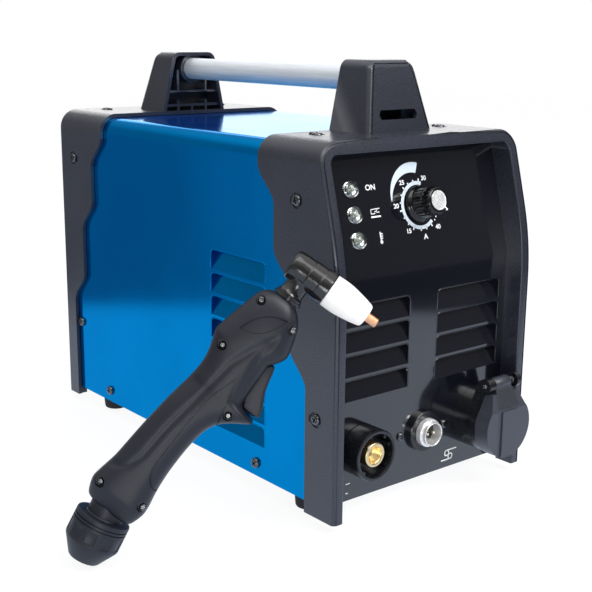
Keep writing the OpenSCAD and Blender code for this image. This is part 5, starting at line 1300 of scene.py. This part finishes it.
# %% The fan's guard and screws
WIRE, RING_HEIGHT, SPOKE_HEIGHT, EYE_OFF = 0.9, 2.3, 0.95, GUARD_CORNER * sqrt(2)
fan_place = on_rear(FAN_X, REAR_Y, FAN_HEIGHT)
guard = [wire_ring(7.9 + 7 * k, WIRE, RING_HEIGHT) for k in range(5)]
quarters = [spin(radians(45 + 90 * k)) for k in range(4)]
for turn in quarters:
    spoke = rod(WIRE, 8, EYE_OFF - 3.2, sides=12)
    guard.append(smooth(into_place(spoke, turn @ at(0, 0, SPOKE_HEIGHT) @ spin(QUARTER, "Y")), 60))
    guard.append(into_place(wire_ring(3.1, WIRE, SPOKE_HEIGHT, 32), turn @ at(EYE_OFF, 0)))
stand_in(into_place(joined(guard, "guard"), fan_place), "fan_guard")
stand_in(screws([fan_place @ turn @ at(EYE_OFF, 0, 1.85) for turn in quarters], PAN_HEAD, -12.5), "fan_screws")

# %% [markdown]
# A fan blade is a curved sheet, steep at the hub and flatter at its tip. It starts as a flat grid whose
# columns are turned one by one about the blade's own length, and Solidify gives it thickness.

# %% The fan's rotor
BLADES, COLUMNS, BLADE_IN, BLADE_OUT, BLADE_HALF, BLADE_MIDDLE = 7, 8, 14.2, 36.2, 8.6, 13.3
blades = []
for number in range(BLADES):
    deselect()
    bpy.ops.mesh.primitive_grid_add(x_subdivisions=COLUMNS, y_subdivisions=8, size=1)
    blade = bpy.context.active_object
    into_place(blade, at((BLADE_IN + BLADE_OUT) / 2, 0, BLADE_MIDDLE) @ Matrix.Diagonal(((BLADE_OUT - BLADE_IN) * MM,
        2 * BLADE_HALF * MM, 1, 1)))
    for vertex in blade.data.vertices:
        share = vertex.co.y / (BLADE_HALF * MM)
        vertex.co.z += 1.8 * MM * (1 - share * share)
    edit(blade)
    for column in range(COLUMNS + 1):
        across = (BLADE_IN + (BLADE_OUT - BLADE_IN) * column / COLUMNS) * MM
        pick(blade, "VERT", lambda v: abs(v.co.x - across) < 0.1 * MM)
        bpy.ops.transform.rotate(value=-radians(44 - 15 * column / COLUMNS), orient_axis="X",
            center_override=(across, 0, BLADE_MIDDLE * MM))
    leave()
    modify(blade, "SOLIDIFY", thickness=1.4 * MM, offset=0)
    blades.append(into_place(smooth(blade, 40), spin(2 * pi * number / BLADES)))
hub = ringed([(1.4, 0.6), (1.4, 17.8), (13, 17.8), (13, 4.1), (14.9, 4.1), (14.9, 21.2), (14.4, 22.3), (13.2, 22.9),
    (5, 22.9), (4.4, 22.3), (0.06, 22.3), (0.06, 0.6)], 64)
rotor = into_place(joined([smooth(hub, 40), *blades], "fan_rotor_dressed"), on_rear(FAN_X, REAR_Y - 1.5 - FAN_DEEP,
    FAN_HEIGHT))
stand_in(rotor, "fan_rotor")

# %% The switch
SWITCH_X, SWITCH_HEIGHT, ROCKER_Y, ROCKER_TILT = 48, 196, -4, -10
softened("switch_body", 0.5, 2)
softened("switch_rocker", 0.5, 3)
rocker_axis = (at(SWITCH_X, REAR_Y + ROCKER_Y, SWITCH_HEIGHT) @ spin(radians(ROCKER_TILT), "X") @ on_rear(0, 0, 0))
SIGN_LEAN, SIGN_OUT, SIGN_UP = radians(9.5), 5.35, 5.2
on_sign = printed([strip([(0, -2), (0, 2)], 0.8)], rocker_axis @ at(0, SIGN_UP, SIGN_OUT) @ spin(SIGN_LEAN, "X"))
off_sign = printed([strip([around((0, 0), 1.7, 15 * k) for k in range(24)], 0.7)], rocker_axis @ at(0, -SIGN_UP,
    SIGN_OUT) @ spin(-SIGN_LEAN, "X"))
detail(joined([on_sign, off_sign], "rocker_signs"), "rocker_signs", white_ink, body_of_node["switch_rocker"])

# %% The gauge
GAUGE_OUT, GAUGE_FLOOR, MIDDLE = 212, 9, (0, 0)
softened("gauge_case", 0.5, 3)
softened("gauge_needle", 0.15, 2)
gauge_place = on_rear(REGULATOR[0], GAUGE_OUT, REGULATOR[2])
face = ringed([(radius, GAUGE_FLOOR + height) for radius, height in ((1.3, 0.1), (17, 0.1), (17, 0.4), (16.8, 0.5),
    (1.5, 0.5), (1.3, 0.4))], 72)
detail(into_place(face, gauge_place), "gauge_face", white_ink, "unit")
black_ink = moulded_plastic("black_ink", (0.01, 0.01, 0.012), depth=0.002)
on_face = gauge_place @ at(0, 0, GAUGE_FLOOR + 0.5)
gauge_marks = [tick(MIDDLE, 12.6, 15.6, 27 * k - 135, 0.9) for k in range(11)]
gauge_marks.append(arc_band(MIDDLE, 15.5, 15.9, -135, 135, 48))
figures = [printed_text(str(2 * k), *around(MIDDLE, 9.8, 54 * k - 135), 2.6, on_face) for k in range(6)]
figures.append(printed_text("bar", 0, -5.5, 2.6, on_face))
detail(joined([printed(gauge_marks, on_face), *figures], "gauge_marks"), "gauge_marks", black_ink, "unit")
glass = turned([(0, 12.4), (17.1, 12.4), (17.1, 13.2), (16.6, 13.5), (10, 13.8), (0, 13.9)], 72)
finish(into_place(smooth(glass, 40), gauge_place), "gauge_glass", "clear_lens", "unit")

# %% The regulator and what is screwed to it
for node, width, segments in (("regulator_body", 1.0, 3), ("regulator_knob", 0.4, 2), ("condensate_bowl", 0.5, 2),
        ("drain_valve", 0.3, 2), ("air_inlet", 0.35, 2), ("mains_gland", 0.5, 2), ("fan_frame", 0.8, 3),
        ("earth_socket_contact", 0.3, 2), ("foot_screws", 0.4, 2)):
    softened(node, width, segments)
